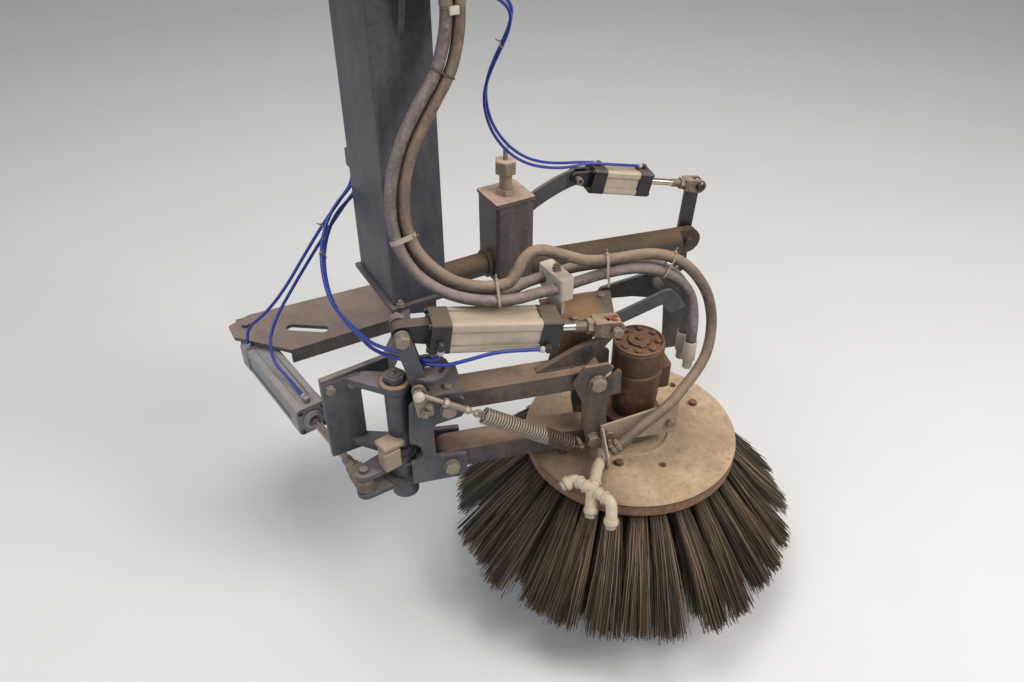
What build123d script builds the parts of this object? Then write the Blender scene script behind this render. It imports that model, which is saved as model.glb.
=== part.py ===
from build123d import *
import math
import os

os.makedirs("parts", exist_ok=True)

# Side broom unit of a street sweeper truck, in mm.
# The origin is the middle of the chassis mount face; X runs along the chassis, Y inboard, Z up.
# Heights of the arm, motor and broom are counted from the top face of the broom disc.
DISC_TOP = -1000
HANGER_W, HANGER_D, HANGER_H, HANGER_T = 130, 210, 710, 8
PIVOT_X, PIVOT_Y = -161, -327
ARM_YAW = -15
LINK_START, LINK_SPAN = 100, 326
LINK_END = LINK_START + LINK_SPAN
UPPER_H, LOWER_H = 222, 58
LINK_W = 60
BROOM_S, BROOM_Y = 547, 30
DISC_R, DISC_T = 250, 34
TIP_DROP = 270
POST_X, POST_Y, POST_SIDE = 424, 257, 118
NOZZLE_YAW = -12.5

PIN_R = 10
RUN = 0.06
PLATE = 8


def turned(yaw):
    """Unit vector along a level direction, given its yaw in degrees."""
    return Vector(math.cos(math.radians(yaw)), math.sin(math.radians(yaw)), 0)


ARM_DIR = turned(ARM_YAW)
ARM_IN = turned(ARM_YAW + 90)
NOZZLE_DIR = turned(NOZZLE_YAW)
NOZZLE_IN = turned(NOZZLE_YAW + 90)


def at(x, y, h):
    """Point by its place on the chassis and its height over the disc."""
    return Vector(x, y, DISC_TOP + h)


def arm(s, y, h):
    """Point by its distance from the swing axis along the arm, its offset inboard and its height."""
    return at(PIVOT_X, PIVOT_Y, h) + ARM_DIR * s + ARM_IN * y


def nozzle(d, y, h):
    """Point by its distance from the nozzle post along the nozzle arm, offset inboard and height."""
    return at(POST_X, POST_Y, h) + NOZZLE_DIR * d + NOZZLE_IN * y


def arm_side(y):
    """Upright plane along the arm; extrudes outboard."""
    return Plane(origin=arm(0, y, 0), x_dir=ARM_DIR, z_dir=-ARM_IN)


def arm_level(h):
    """Level plane with its X along the arm."""
    return Plane(origin=arm(0, 0, h), x_dir=ARM_DIR, z_dir=(0, 0, 1))


def nozzle_side(y):
    """Upright plane along the nozzle arm; extrudes outboard."""
    return Plane(origin=nozzle(0, y, 0), x_dir=NOZZLE_DIR, z_dir=-NOZZLE_IN)


def level(h):
    """Level plane at a height over the disc, square to the chassis."""
    return Plane.XY.offset(DISC_TOP + h)


def arm_across(s):
    """Upright plane square to the arm, with its X inboard; extrudes away from the swing axis."""
    return Plane(origin=arm(s, 0, 0), x_dir=ARM_IN, z_dir=ARM_DIR)


def finish(builder, name):
    """Names a finished piece and writes it."""
    builder.part.label = name
    export_step(builder.part, f"parts/{name}.step")


def corner_radii(points):
    """Radius for each corner of a route, as large as its two runs allow."""
    radii = []
    for before, corner, after in zip(points, points[1:], points[2:]):
        arriving, leaving = corner - before, after - corner
        half_turn = math.radians(arriving.get_angle(leaving) / 2)
        radii.append(0.45 * min(arriving.length, leaving.length) / math.tan(half_turn))
    return radii


def add_tube(points, radius):
    """Adds a round bar along a route: straight runs joined by tangent arcs."""
    with BuildLine(mode=Mode.PRIVATE) as route:
        FilletPolyline(*points, radius=corner_radii(points))
    with BuildSketch(Plane(origin=points[0], z_dir=points[1] - points[0])) as section:
        Circle(radius)
    path = route.wires()[0]
    sweep(section.sketch, path=path)
    return path.length


def joined(*stretches):
    """Routes of neighbouring stretches, each pair meeting halfway along the run between them."""
    routes = [list(points) for points in stretches]
    for here, there in zip(routes, routes[1:]):
        middle = (here[-1] + there[0]) / 2
        here.append(middle)
        there.insert(0, middle)
    return routes


def hose(name, points, radius):
    """One stretch of hose as a piece of its own; prints its bends and tests its volume."""
    with BuildPart() as stretch:
        length = add_tube(points, radius)
    fill = stretch.part.volume / (math.pi * radius**2 * length)
    print(f"{name}: {length:.0f} mm, bends {min(corner_radii(points), default=0):.0f} mm and up")
    if abs(fill - 1) > 0.01 or not stretch.part.is_valid:
        print("PROBLEM", name, round(fill, 3))
    finish(stretch, name)


# Chassis hanger: folded channel open to the rear, with a bolted head plate and a foot plate
HEAD_X, HEAD_Y, HEAD_T = 190, 270, 12
HEAD_HOLE_X, HEAD_HOLE_Y, HEAD_HOLE_R = 150, 230, 7
FOOT_H = 290
with BuildPart() as chassis_hanger:
    with BuildSketch(Plane.XY.offset(-HANGER_H)):
        Rectangle(HANGER_W, HANGER_D)
        with Locations((HANGER_T, 0)):
            Rectangle(HANGER_W, HANGER_D - 2 * HANGER_T, mode=Mode.SUBTRACT)
    extrude(amount=HANGER_H - HEAD_T)
    fillet(chassis_hanger.edges().filter_by(Axis.Z).group_by(Axis.X)[0], 7)
    with BuildSketch(Plane.XY.offset(-HEAD_T)):
        RectangleRounded(HEAD_X, HEAD_Y, 12)
        with GridLocations(HEAD_HOLE_X, HEAD_HOLE_Y, 2, 2):
            Circle(HEAD_HOLE_R, mode=Mode.SUBTRACT)
    extrude(amount=HEAD_T)
    with BuildSketch(Plane.XY.offset(-HANGER_H - 2)):
        Rectangle(HANGER_W + 20, HANGER_D + 20)
    extrude(amount=10)
    # Gusset under the head plate on the outboard face
    with BuildSketch(Plane.YZ.offset(-6)):
        with BuildLine():
            Polyline((-HANGER_D / 2 + 1, -HEAD_T - 1), (-HEAD_Y / 2 + 4, -HEAD_T - 1),
                     (-HEAD_Y / 2 + 4, -30), (-HANGER_D / 2 + 1, -120), close=True)
        make_face()
    extrude(amount=12)
finish(chassis_hanger, "chassis_hanger")

# Hinge bracket: bent bar from the foot of the hanger, a drop leg and the two lugs of the swing axis
BAR_H, BAR_T = 58, 14
BAR_TOP = FOOT_H - 2
LEG_X, LEG_Y, LEG_W, LEG_BOTTOM = -257, -261, 82, 78
LUG_R = 30
LUG_HEIGHTS = [(262, 16), (92, 16)]
SHAFT_R = 15
with BuildPart() as hinge_bracket:
    with BuildSketch(level(BAR_TOP - BAR_H)):
        with BuildLine():
            Polyline((LEG_X - LEG_W / 2, LEG_Y), (-150, -250), (-40, -112), (-40, 40))
        trace(line_width=BAR_T)
    extrude(amount=BAR_H)
    with BuildSketch(level(LEG_BOTTOM)):
        with Locations((LEG_X, LEG_Y)):
            Rectangle(LEG_W, BAR_T)
    extrude(amount=BAR_TOP - LEG_BOTTOM - 8)
    for height, thick in LUG_HEIGHTS:
        with BuildSketch(level(height)):
            with Locations((PIVOT_X, PIVOT_Y)):
                Circle(LUG_R)
            with Locations((LEG_X + 25, LEG_Y)):
                Rectangle(30, BAR_T)
            make_hull()
            with Locations((PIVOT_X, PIVOT_Y)):
                Circle(SHAFT_R + RUN, mode=Mode.SUBTRACT)
        extrude(amount=thick)
finish(hinge_bracket, "hinge_bracket")

# Rear drop bracket under the hanger: it carries the cross tube and the swing cylinder's shelf
DROP_X, DROP_T = 45, 12
CROSS_H, CROSS_R = 90, 34
with BuildPart() as drop_bracket:
    with BuildSketch(Plane.YZ.offset(DROP_X)):
        with BuildLine():
            top, low = DISC_TOP + FOOT_H - 2, DISC_TOP + CROSS_H
            Polyline((-60, top), (112, top), (310, low + 50), (310, low - 45), (205, low - 45),
                     (-60, top - 70), close=True)
        make_face()
    extrude(amount=DROP_T)
    with BuildSketch(Plane.YZ.offset(DROP_X + DROP_T)):
        with Locations((POST_Y, DISC_TOP + CROSS_H)):
            Circle(CROSS_R + 12)
            Circle(CROSS_R, mode=Mode.SUBTRACT)
    extrude(amount=10)
finish(drop_bracket, "drop_bracket")

# Shelf that holds the swing cylinder's tail: folded plate with a slot, an eye lug and a stay
SWING_H = 45
SHELF_H, SHELF_T = 88, 10
TAIL_X, TAIL_Y = -335, 279
with BuildPart() as cylinder_shelf:
    with BuildSketch(level(SHELF_H)):
        with BuildLine():
            Polyline((DROP_X, 120), (DROP_X, 300), (TAIL_X + 20, TAIL_Y + 45), (TAIL_X - 40, TAIL_Y + 20),
                     (TAIL_X - 40, TAIL_Y - 35), (TAIL_X + 70, 120), close=True)
        make_face()
        with Locations((-200, 190)):
            SlotOverall(110, 26, rotation=-35, mode=Mode.SUBTRACT)
    extrude(amount=SHELF_T)
    with BuildSketch(level(SHELF_H - 30)):
        with Locations(((DROP_X + TAIL_X + 70) / 2, 124)):
            Rectangle(DROP_X - TAIL_X - 70, 8)
    extrude(amount=35)
    # Lower cheek and the tail pin
    with BuildSketch(level(SWING_H - 30)):
        with Locations((TAIL_X, TAIL_Y)):
            Circle(24)
        with Locations((TAIL_X + 10, TAIL_Y + 44)):
            Rectangle(50, 12)
        make_hull()
    extrude(amount=10)
    with BuildSketch(level(SWING_H - 30)):
        with Locations((TAIL_X + 10, TAIL_Y + 46)):
            Rectangle(50, 10)
    extrude(amount=SHELF_H - SWING_H + 32)
    with BuildSketch(level(SWING_H - 26)):
        with Locations((TAIL_X, TAIL_Y)):
            Circle(PIN_R)
    extrude(amount=SHELF_H - SWING_H + 44)
finish(cylinder_shelf, "cylinder_shelf")

# Cross tube with a collar at the nozzle post
with BuildPart() as cross_tube:
    with BuildSketch(Plane.YZ.offset(DROP_X + DROP_T)):
        with Locations((POST_Y, DISC_TOP + CROSS_H)):
            Circle(CROSS_R)
    extrude(amount=POST_X - POST_SIDE / 2 - DROP_X - DROP_T)
    with BuildSketch(Plane.YZ.offset(POST_X - POST_SIDE / 2 - 14)):
        with Locations((POST_Y, DISC_TOP + CROSS_H)):
            Circle(CROSS_R + 7)
    extrude(amount=14)
finish(cross_tube, "cross_tube")

# Square nozzle post, closed by a top plate
POST_LOW, POST_HIGH = 45, 300
with BuildPart() as nozzle_post:
    with BuildSketch(level(POST_LOW)):
        with Locations((POST_X, POST_Y)):
            RectangleRounded(POST_SIDE, POST_SIDE, 10)
            RectangleRounded(POST_SIDE - 12, POST_SIDE - 12, 5, mode=Mode.SUBTRACT)
    extrude(amount=POST_HIGH - POST_LOW - 8)
    with BuildSketch(level(POST_HIGH - 8)):
        with Locations((POST_X, POST_Y)):
            RectangleRounded(POST_SIDE + 4, POST_SIDE + 4, 5)
    extrude(amount=8)
finish(nozzle_post, "nozzle_post")

# Spindle on the post: flange nut, neck, rounded cap nut and a thin stud
with BuildPart() as post_spindle:
    with BuildSketch(level(POST_HIGH)):
        with Locations((POST_X, POST_Y)):
            RegularPolygon(30, 6)
    extrude(amount=14, taper=12)
    with BuildSketch(level(POST_HIGH)):
        with Locations((POST_X, POST_Y)):
            Circle(18)
    extrude(amount=64)
    with BuildSketch(level(POST_HIGH + 62)):
        with Locations((POST_X, POST_Y)):
            RegularPolygon(32, 6)
    extrude(amount=38)
    fillet(post_spindle.edges().group_by(Axis.Z)[-1], 6)
    with BuildSketch(level(POST_HIGH + 99)):
        with Locations((POST_X, POST_Y)):
            Circle(7)
    extrude(amount=36)
finish(post_spindle, "post_spindle")

# Round nozzle arm out of the post, ending in a boss that holds the lever's pin
TUBE_H, TUBE_R = 52, 41
LEVER_D, LEVER_Y = 585, 20
with BuildPart() as nozzle_arm:
    with BuildSketch(Plane(origin=nozzle(40, 0, TUBE_H), x_dir=NOZZLE_IN, z_dir=NOZZLE_DIR)):
        Circle(TUBE_R)
    extrude(amount=LEVER_D - 32 - 40)
    with BuildSketch(level(POST_LOW - 40)):
        with Locations((POST_X, POST_Y)):
            Rectangle(POST_SIDE, 2 * POST_SIDE)
    extrude(amount=200, mode=Mode.SUBTRACT)
    with BuildSketch(nozzle_side(0)):
        with Locations((LEVER_D, TUBE_H)):
            Circle(TUBE_R)
        with Locations((LEVER_D - 30, TUBE_H)):
            Rectangle(30, 2 * TUBE_R)
    extrude(amount=12, both=True)
    with BuildSketch(nozzle_side(0)):
        with Locations((LEVER_D, TUBE_H)):
            Circle(PIN_R)
    extrude(amount=-(LEVER_Y + 16))
    with BuildSketch(nozzle_side(-12)):
        with Locations((LEVER_D, TUBE_H)):
            RegularPolygon(15, 6)
    extrude(amount=12)
finish(nozzle_arm, "nozzle_arm")

# Curved bar from the post to the tail of the nozzle cylinder
NOZZLE_TAIL_D, NOZZLE_TAIL_H = 205, 320
with BuildPart() as cylinder_bar:
    with BuildSketch(nozzle_side(0)):
        with BuildLine():
            l1 = Line((50, 210), (50, 268))
            l2 = ThreePointArc(l1 @ 1, (120, 312), (NOZZLE_TAIL_D - 5, 342))
            l3 = Line(l2 @ 1, (NOZZLE_TAIL_D + 8, 298))
            l4 = ThreePointArc(l3 @ 1, (125, 262), l1 @ 0)
        make_face()
    extrude(amount=6, both=True)
    with BuildSketch(level(POST_LOW)):
        with Locations((POST_X, POST_Y)):
            Rectangle(POST_SIDE, POST_SIDE)
    extrude(amount=POST_HIGH - POST_LOW - 8, mode=Mode.SUBTRACT)
    with BuildSketch(nozzle_side(0)):
        with Locations((NOZZLE_TAIL_D, NOZZLE_TAIL_H)):
            Circle(PIN_R)
    extrude(amount=30, both=True)
finish(cylinder_bar, "cylinder_bar")

# Swing frame: shaft and tube on the swing axis, lower hub, forked lever and two C-shaped cheeks
HUB_R, HUB_LOW, HUB_HIGH = 30, -34, 84
CHEEK_Y, CHEEK_T = 36, 12
LEVER_X, LEVER_PIN_Y = -256, -341
with BuildPart() as swing_frame:
    with BuildSketch(level(HUB_LOW)):
        with Locations((PIVOT_X, PIVOT_Y)):
            Circle(HUB_R)
    extrude(amount=HUB_HIGH - HUB_LOW)
    with BuildSketch(level(HUB_LOW - 8)):
        with Locations((PIVOT_X, PIVOT_Y)):
            Circle(SHAFT_R)
    extrude(amount=300 - HUB_LOW + 8)
    with BuildSketch(level(114)):
        with Locations((PIVOT_X, PIVOT_Y)):
            Circle(25)
    extrude(amount=142)
    with BuildSketch(level(283)):
        with Locations((PIVOT_X, PIVOT_Y)):
            RegularPolygon(23, 6)
    extrude(amount=15)
    for low, thick in ((12, 12), (66, 12)):
        with BuildSketch(level(low)):
            with Locations((PIVOT_X, PIVOT_Y)):
                Circle(HUB_R)
            with Locations((LEVER_X, LEVER_PIN_Y)):
                Circle(21)
            make_hull()
        extrude(amount=thick)
    with BuildSketch(level(6)):
        with Locations((LEVER_X, LEVER_PIN_Y)):
            Circle(PIN_R)
    extrude(amount=80)
    for side in (-1, 1):
        with BuildSketch(arm_side(side * (CHEEK_Y + CHEEK_T / 2))):
            with BuildLine():
                Polyline((14, 22), (122, 22), (134, 36), (134, 86), (68, 92), (66, 170), (72, 184),
                         (128, 196), (134, 208), (134, 240), (118, 254), (34, 254), (20, 240), (14, 160),
                         close=True)
            make_face()
            with Locations((10, 112)):
                Circle(30, mode=Mode.SUBTRACT)
        extrude(amount=CHEEK_T / 2, both=True)
    # Web plate between the cheeks and the hub, and the link pins
    with BuildSketch(arm_level(22)):
        with Locations((52, 0)):
            Rectangle(80, 2 * CHEEK_Y + 2)
    extrude(amount=8)
    with BuildSketch(arm_level(118)):
        with Locations((54, 0)):
            Rectangle(10, 2 * CHEEK_Y + 2)
    extrude(amount=120)
    for height in (UPPER_H, LOWER_H):
        with BuildSketch(arm_side(0)):
            with Locations((LINK_START, height)):
                Circle(PIN_R)
        extrude(amount=CHEEK_Y + CHEEK_T + 6, both=True)
finish(swing_frame, "swing_frame")

# Stand on the swing frame for the lift cylinder, with a slotted round plate
TAIL_S, TAIL_H = 20, 402
EYE_S, EYE_H = 470, 335
with BuildPart() as cylinder_stand:
    with BuildSketch(arm_level(254)):
        with Locations((84, 0)):
            Rectangle(100, 2 * (CHEEK_Y + CHEEK_T))
    extrude(amount=10)
    for y in (-27, 27):
        with BuildSketch(arm_side(y)):
            with Locations((TAIL_S, TAIL_H)):
                Circle(17)
            with Locations((52, 262)):
                Rectangle(32, 8)
            make_hull()
        extrude(amount=5, both=True)
    with BuildSketch(arm_side(0)):
        with Locations((TAIL_S, TAIL_H)):
            Circle(PIN_R)
    extrude(amount=38, both=True)
    with BuildSketch(arm_level(294)):
        with Locations((70, 0)):
            Circle(44)
            Circle(12, mode=Mode.SUBTRACT)
            with PolarLocations(30, 3, start_angle=90):
                SlotOverall(22, 10, rotation=90, mode=Mode.SUBTRACT)
    extrude(amount=8)
finish(cylinder_stand, "cylinder_stand")

# Eyebolt that holds the lift spring
SPRING_Y = -62
SPRING_TOP, SPRING_LOW = (41, 286), (392, 56)
with BuildPart() as spring_eyebolt:
    with BuildSketch(arm_side(-CHEEK_Y - CHEEK_T)):
        with Locations(SPRING_TOP):
            Circle(14)
        with Locations((52, 232)):
            Rectangle(34, 30)
        make_hull()
    extrude(amount=6)
    with BuildSketch(arm_side(-CHEEK_Y - CHEEK_T - 5)):
        with Locations(SPRING_TOP):
            Circle(6)
    extrude(amount=20)
finish(spring_eyebolt, "spring_eyebolt")

# Upper link: box tube with eyes at both ends
UPPER_T, LINK_WALL = 46, 5
with BuildPart() as upper_link:
    with BuildSketch(arm_side(0)):
        with Locations((LINK_START + LINK_SPAN / 2, UPPER_H)):
            SlotCenterToCenter(LINK_SPAN, UPPER_T)
    extrude(amount=LINK_W / 2, both=True)
    with BuildSketch(arm_side(0)):
        with Locations((LINK_START + LINK_SPAN / 2, UPPER_H)):
            Rectangle(LINK_SPAN - 60, UPPER_T - 2 * LINK_WALL)
    extrude(amount=LINK_W / 2 - LINK_WALL, both=True, mode=Mode.SUBTRACT)
    with BuildSketch(arm_side(0)):
        with Locations((LINK_START, UPPER_H), (LINK_START + LINK_SPAN, UPPER_H)):
            Circle(PIN_R + RUN)
    extrude(amount=LINK_W, both=True, mode=Mode.SUBTRACT)
finish(upper_link, "upper_link")

# Lift crank: rib from the upper link up to the lift cylinder's pin
HORN_Y, HORN_T = 24, 6
LINK_TOP = UPPER_H + UPPER_T / 2
with BuildPart() as lift_crank:
    with BuildSketch(arm_side(0)):
        with BuildLine():
            Polyline((300, LINK_TOP), (412, LINK_TOP), (EYE_S + 18, EYE_H - 8), (EYE_S + 14, EYE_H + 16),
                     (EYE_S - 10, EYE_H + 16), (EYE_S - 16, EYE_H - 24), (385, 290), close=True)
        make_face()
    extrude(amount=7, both=True)
    with BuildSketch(arm_side(0)):
        with Locations((EYE_S, EYE_H)):
            Circle(PIN_R)
    extrude(amount=HORN_Y, both=True)
finish(lift_crank, "lift_crank")

# Horn over the motor: near cheek, level plate for the hose clamp, far cheek and a tube across
SHELF_LOW = 338
FAR_Y, FAR_T = 120, 8
with BuildPart() as lift_horn:
    with BuildSketch(arm_side(HORN_Y)):
        with BuildLine():
            Polyline((336, LINK_TOP), (414, LINK_TOP), (438, 300), (489, 315), (588, 352), (610, 326), (647, 338),
                     (630, 362), (606, 388), (592, 388), (478, 344), (362, 344), (358, 330), close=True)
        make_face()
    extrude(amount=-HORN_T)
    with BuildSketch(arm_level(SHELF_LOW)):
        with BuildLine():
            Polyline((360, HORN_Y), (480, HORN_Y), (505, FAR_Y + 2), (340, FAR_Y + 2), (340, 60), (360, 48),
                     close=True)
        make_face()
    extrude(amount=6)
    with BuildSketch(arm_side(FAR_Y)):
        with BuildLine():
            Polyline((470, 332), (484, 350), (593, 372), (643, 362), (692, 336), (690, 150), (652, 150),
                     (640, 296), (560, 316), (470, 322), close=True)
        make_face()
    extrude(amount=-FAR_T)
    with BuildSketch(arm_side(HORN_Y)):
        with Locations((612, 346)):
            Circle(14)
    extrude(amount=HORN_Y - FAR_Y)
finish(lift_horn, "lift_horn")

# Twin clamp that holds the two pressure hoses, on a short stand
CLAMP_YAW = 16
CLAMP_S, CLAMP_Y = 365.7, 83
CLAMP_LOW, CLAMP_HIGH, CLAMP_MID = 387, 439, 413
CLAMP_THICK, CLAMP_LONG, HOLE_GAP = 33.3, 89, 54
HOSE_R = 12
with BuildPart() as hose_clamp:
    with BuildSketch(arm_level(SHELF_LOW + 6)):
        with Locations(Location((CLAMP_S, CLAMP_Y), CLAMP_YAW)):
            Rectangle(8, 58)
    extrude(amount=CLAMP_LOW - SHELF_LOW - 6)
    with BuildSketch(arm_level(CLAMP_LOW)):
        with Locations(Location((CLAMP_S, CLAMP_Y), CLAMP_YAW)):
            RectangleRounded(CLAMP_THICK, CLAMP_LONG, 6)
    extrude(amount=CLAMP_HIGH - CLAMP_LOW)
    clamp_axis = turned(ARM_YAW + CLAMP_YAW)
    clamp_row = turned(ARM_YAW + CLAMP_YAW + 90)
    clamp_face = Plane(origin=arm(CLAMP_S, CLAMP_Y, CLAMP_MID) - clamp_axis * CLAMP_THICK, x_dir=clamp_row,
                       z_dir=clamp_axis)
    with BuildSketch(clamp_face):
        with Locations((-HOLE_GAP / 2, 0), (HOLE_GAP / 2, 0)):
            Circle(HOSE_R + RUN)
    extrude(amount=2 * CLAMP_THICK, mode=Mode.SUBTRACT)
finish(hose_clamp, "hose_clamp")


def in_clamp(side, along):
    """Point on the axis of one of the clamp's holes: -1 is the outboard hole."""
    return arm(CLAMP_S, CLAMP_Y, CLAMP_MID) + clamp_row * side * HOLE_GAP / 2 + clamp_axis * along


# Lower link: channel, open below, with the stud for the spring
LOWER_T = 50
with BuildPart() as lower_link:
    with BuildSketch(arm_side(0)):
        with BuildLine():
            Polyline((LINK_START, LOWER_H - 25), (LINK_END - 80, LOWER_H - 25), (LINK_END, LOWER_H - 18))
            ThreePointArc((LINK_END, LOWER_H - 18), (LINK_END + 18, LOWER_H), (LINK_END, LOWER_H + 18))
            Polyline((LINK_END, LOWER_H + 18), (LINK_END - 80, LOWER_H + 25), (LINK_START, LOWER_H + 25))
            ThreePointArc((LINK_START, LOWER_H + 25), (LINK_START - 25, LOWER_H), (LINK_START, LOWER_H - 25))
        make_face()
    extrude(amount=LINK_W / 2, both=True)
    with BuildSketch(arm_side(0)):
        with Locations((LINK_START + LINK_SPAN / 2, LOWER_H - 12)):
            Rectangle(LINK_SPAN - 60, LOWER_T)
    extrude(amount=LINK_W / 2 - LINK_WALL, both=True, mode=Mode.SUBTRACT)
    with BuildSketch(arm_side(0)):
        with Locations((LINK_START, LOWER_H)):
            Circle(PIN_R + RUN)
        with Locations((LINK_END, LOWER_H)):
            Circle(PIN_R + 1)
    extrude(amount=LINK_W, both=True, mode=Mode.SUBTRACT)
    with BuildSketch(arm_side(-LINK_W / 2 + 3)):
        with Locations(SPRING_LOW):
            Circle(6)
    extrude(amount=-SPRING_Y - LINK_W / 2 + 11)
finish(lower_link, "lower_link")

# Lift spring between the eyebolt and the lower link's stud: plain body, coils are in the visual
spring_axis = arm(SPRING_LOW[0], SPRING_Y, SPRING_LOW[1]) - arm(SPRING_TOP[0], SPRING_Y, SPRING_TOP[1])
SPRING_LENGTH = spring_axis.length
SPRING_RUNS = [  # begin, end, radius
    (9, 150, 4),
    (58, 74, 9),
    (90, 140, 6),
    (150, SPRING_LENGTH - 28, 16),
    (SPRING_LENGTH - 28, SPRING_LENGTH - 9, 5),
]
with BuildPart() as lift_spring:
    start = arm(SPRING_TOP[0], SPRING_Y, SPRING_TOP[1])
    for begin, end, radius in SPRING_RUNS:
        origin = start + spring_axis.normalized() * begin
        with BuildSketch(Plane(origin=origin, x_dir=ARM_IN, z_dir=spring_axis)):
            Circle(radius)
        extrude(amount=end - begin)
finish(lift_spring, "lift_spring")

# Broom carrier: two tongued cheek plates with a tilt slot
OUTER_FACE = 36
MOTOR_LOW = 46
with BuildPart() as carrier:
    for side in (-1, 1):
        with BuildSketch(arm_side(side * (OUTER_FACE + PLATE / 2))):
            with BuildLine():
                Polyline((LINK_END - 18, LOWER_H), (LINK_END - 28, 110), (LINK_END - 30, 168), (LINK_END - 44, 200),
                         (LINK_END - 54, 226), (LINK_END - 30, 268), (LINK_END + 22, 268), (LINK_END + 54, 240),
                         (LINK_END + 56, 182), (LINK_END + 26, 178), (LINK_END + 28, 84), (LINK_END + 48, 66),
                         (LINK_END + 48, MOTOR_LOW), (LINK_END + 24, MOTOR_LOW), (LINK_END + 24, 36),
                         (LINK_END - 12, 36), close=True)
            make_face()
            with BuildLine():
                tilt_arc = ThreePointArc((LINK_END - 6, UPPER_H - 4), (LINK_END + 20, UPPER_H + 10),
                                         (LINK_END + 42, UPPER_H + 30))
            if side < 0:
                SlotArc(tilt_arc, 14, mode=Mode.SUBTRACT)
        extrude(amount=PLATE / 2, both=True)
    for height in (UPPER_H, LOWER_H):
        with BuildSketch(arm_side(0)):
            with Locations((LINK_END, height)):
                Circle(PIN_R)
        extrude(amount=OUTER_FACE + PLATE + 5, both=True)
    with BuildSketch(arm_level(110)):
        with Locations((LINK_END, 0)):
            Rectangle(12, 2 * OUTER_FACE + 2)
    extrude(amount=55)
finish(carrier, "broom_carrier")

# Motor plate under the hydraulic motor, welded to the carrier cheeks, with a lug for the spray bracket
PLATE_EDGE = -OUTER_FACE - PLATE
with BuildPart() as motor_plate:
    with BuildSketch(arm_level(MOTOR_LOW - 12)):
        with Locations((BROOM_S, BROOM_Y)):
            Circle(72)
        with Locations((460, 0)):
            Rectangle(20, -2 * PLATE_EDGE)
        with Locations((BROOM_S, PLATE_EDGE + 14)):
            Rectangle(150, 28)
        make_hull()
        with Locations((BROOM_S, BROOM_Y)):
            Circle(24, mode=Mode.SUBTRACT)
    extrude(amount=12)
    with BuildSketch(arm_level(MOTOR_LOW - 12)):
        with Locations((BROOM_S + 62, PLATE_EDGE + 5)):
            Rectangle(26, 10)
    extrude(amount=52)
finish(motor_plate, "motor_plate")

# Hydraulic motor: flanged can with a band groove, raised lid and a side port block
MOTOR_HIGH, MOTOR_R = 258, 58
PORT_FACE, PORT_H = BROOM_S + 75, 166
PORT_OFFSETS = (24, 62)
with BuildPart() as hydraulic_motor:
    with BuildSketch(Plane(origin=arm(BROOM_S, BROOM_Y, 0), x_dir=ARM_DIR, z_dir=-ARM_IN)):
        with BuildLine():
            Polyline((0, MOTOR_LOW), (66, MOTOR_LOW), (66, MOTOR_LOW + 16), (50, MOTOR_LOW + 24),
                     (MOTOR_R - 3, 120), (MOTOR_R - 3, 176), (MOTOR_R, 180), (MOTOR_R, 190),
                     (MOTOR_R - 4, 192), (MOTOR_R - 4, 198), (MOTOR_R, 200), (MOTOR_R, 252),
                     (MOTOR_R - 4, MOTOR_HIGH), (0, MOTOR_HIGH), close=True)
        make_face()
    revolve(axis=Axis(arm(BROOM_S, BROOM_Y, 0), (0, 0, 1)))
    with BuildSketch(arm_level(MOTOR_HIGH)):
        with Locations((BROOM_S, BROOM_Y)):
            Circle(24)
            Rectangle(14, 60)
    extrude(amount=5)
    with BuildSketch(arm_level(PORT_H - 30)):
        with Locations((PORT_FACE - 19, BROOM_Y + 13)):
            RectangleRounded(38, 84, 10)
    extrude(amount=60)
finish(hydraulic_motor, "hydraulic_motor")

# Elbow fittings from the motor's ports up to the ends of the pressure hoses
ELBOW_S, ELBOW_R = BROOM_S + 123, 11
FERRULE_LOW, FERRULE_HIGH, FERRULE_R = 190, 240, 15
with BuildPart() as motor_elbows:
    for offset in PORT_OFFSETS:
        with BuildSketch(arm_across(PORT_FACE)):
            with Locations((offset, PORT_H)):
                RegularPolygon(16, 6)
        extrude(amount=14)
        with BuildSketch(arm_across(PORT_FACE)):
            with Locations((offset, PORT_H)):
                Circle(ELBOW_R)
        extrude(amount=ELBOW_S - PORT_FACE)
        with Locations(arm(ELBOW_S, offset, PORT_H)):
            Sphere(ELBOW_R)
        with BuildSketch(arm_level(PORT_H)):
            with Locations((ELBOW_S, offset)):
                Circle(ELBOW_R)
        extrude(amount=FERRULE_LOW - PORT_H)
        with BuildSketch(arm_level(FERRULE_LOW)):
            with Locations((ELBOW_S, offset)):
                Circle(FERRULE_R)
        extrude(amount=FERRULE_HIGH - FERRULE_LOW)
finish(motor_elbows, "motor_elbows")

# Spray bracket: sloping plate on the carrier and the lug, with a tongue that holds the spray pipe
BRACKET_LEFT, BRACKET_T = 441, 6
FEED_Y, FEED_H = -75, 26
with BuildPart() as spray_bracket:
    with BuildSketch(arm_side(PLATE_EDGE)):
        with BuildLine():
            Polyline((BRACKET_LEFT, 40), (625, 40), (625, 130), (BRACKET_LEFT, 95), close=True)
        make_face()
    extrude(amount=BRACKET_T)
    with BuildSketch(arm_across(BRACKET_LEFT)):
        with BuildLine():
            Polyline((PLATE_EDGE, 95), (PLATE_EDGE, 40), (-62, 8), (-100, 8), (-108, 30), (-104, 48), (-60, 92),
                     close=True)
        make_face()
        with Locations((FEED_Y, FEED_H)):
            Circle(17, mode=Mode.SUBTRACT)
    extrude(amount=4)
finish(spray_bracket, "spray_bracket")

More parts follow.
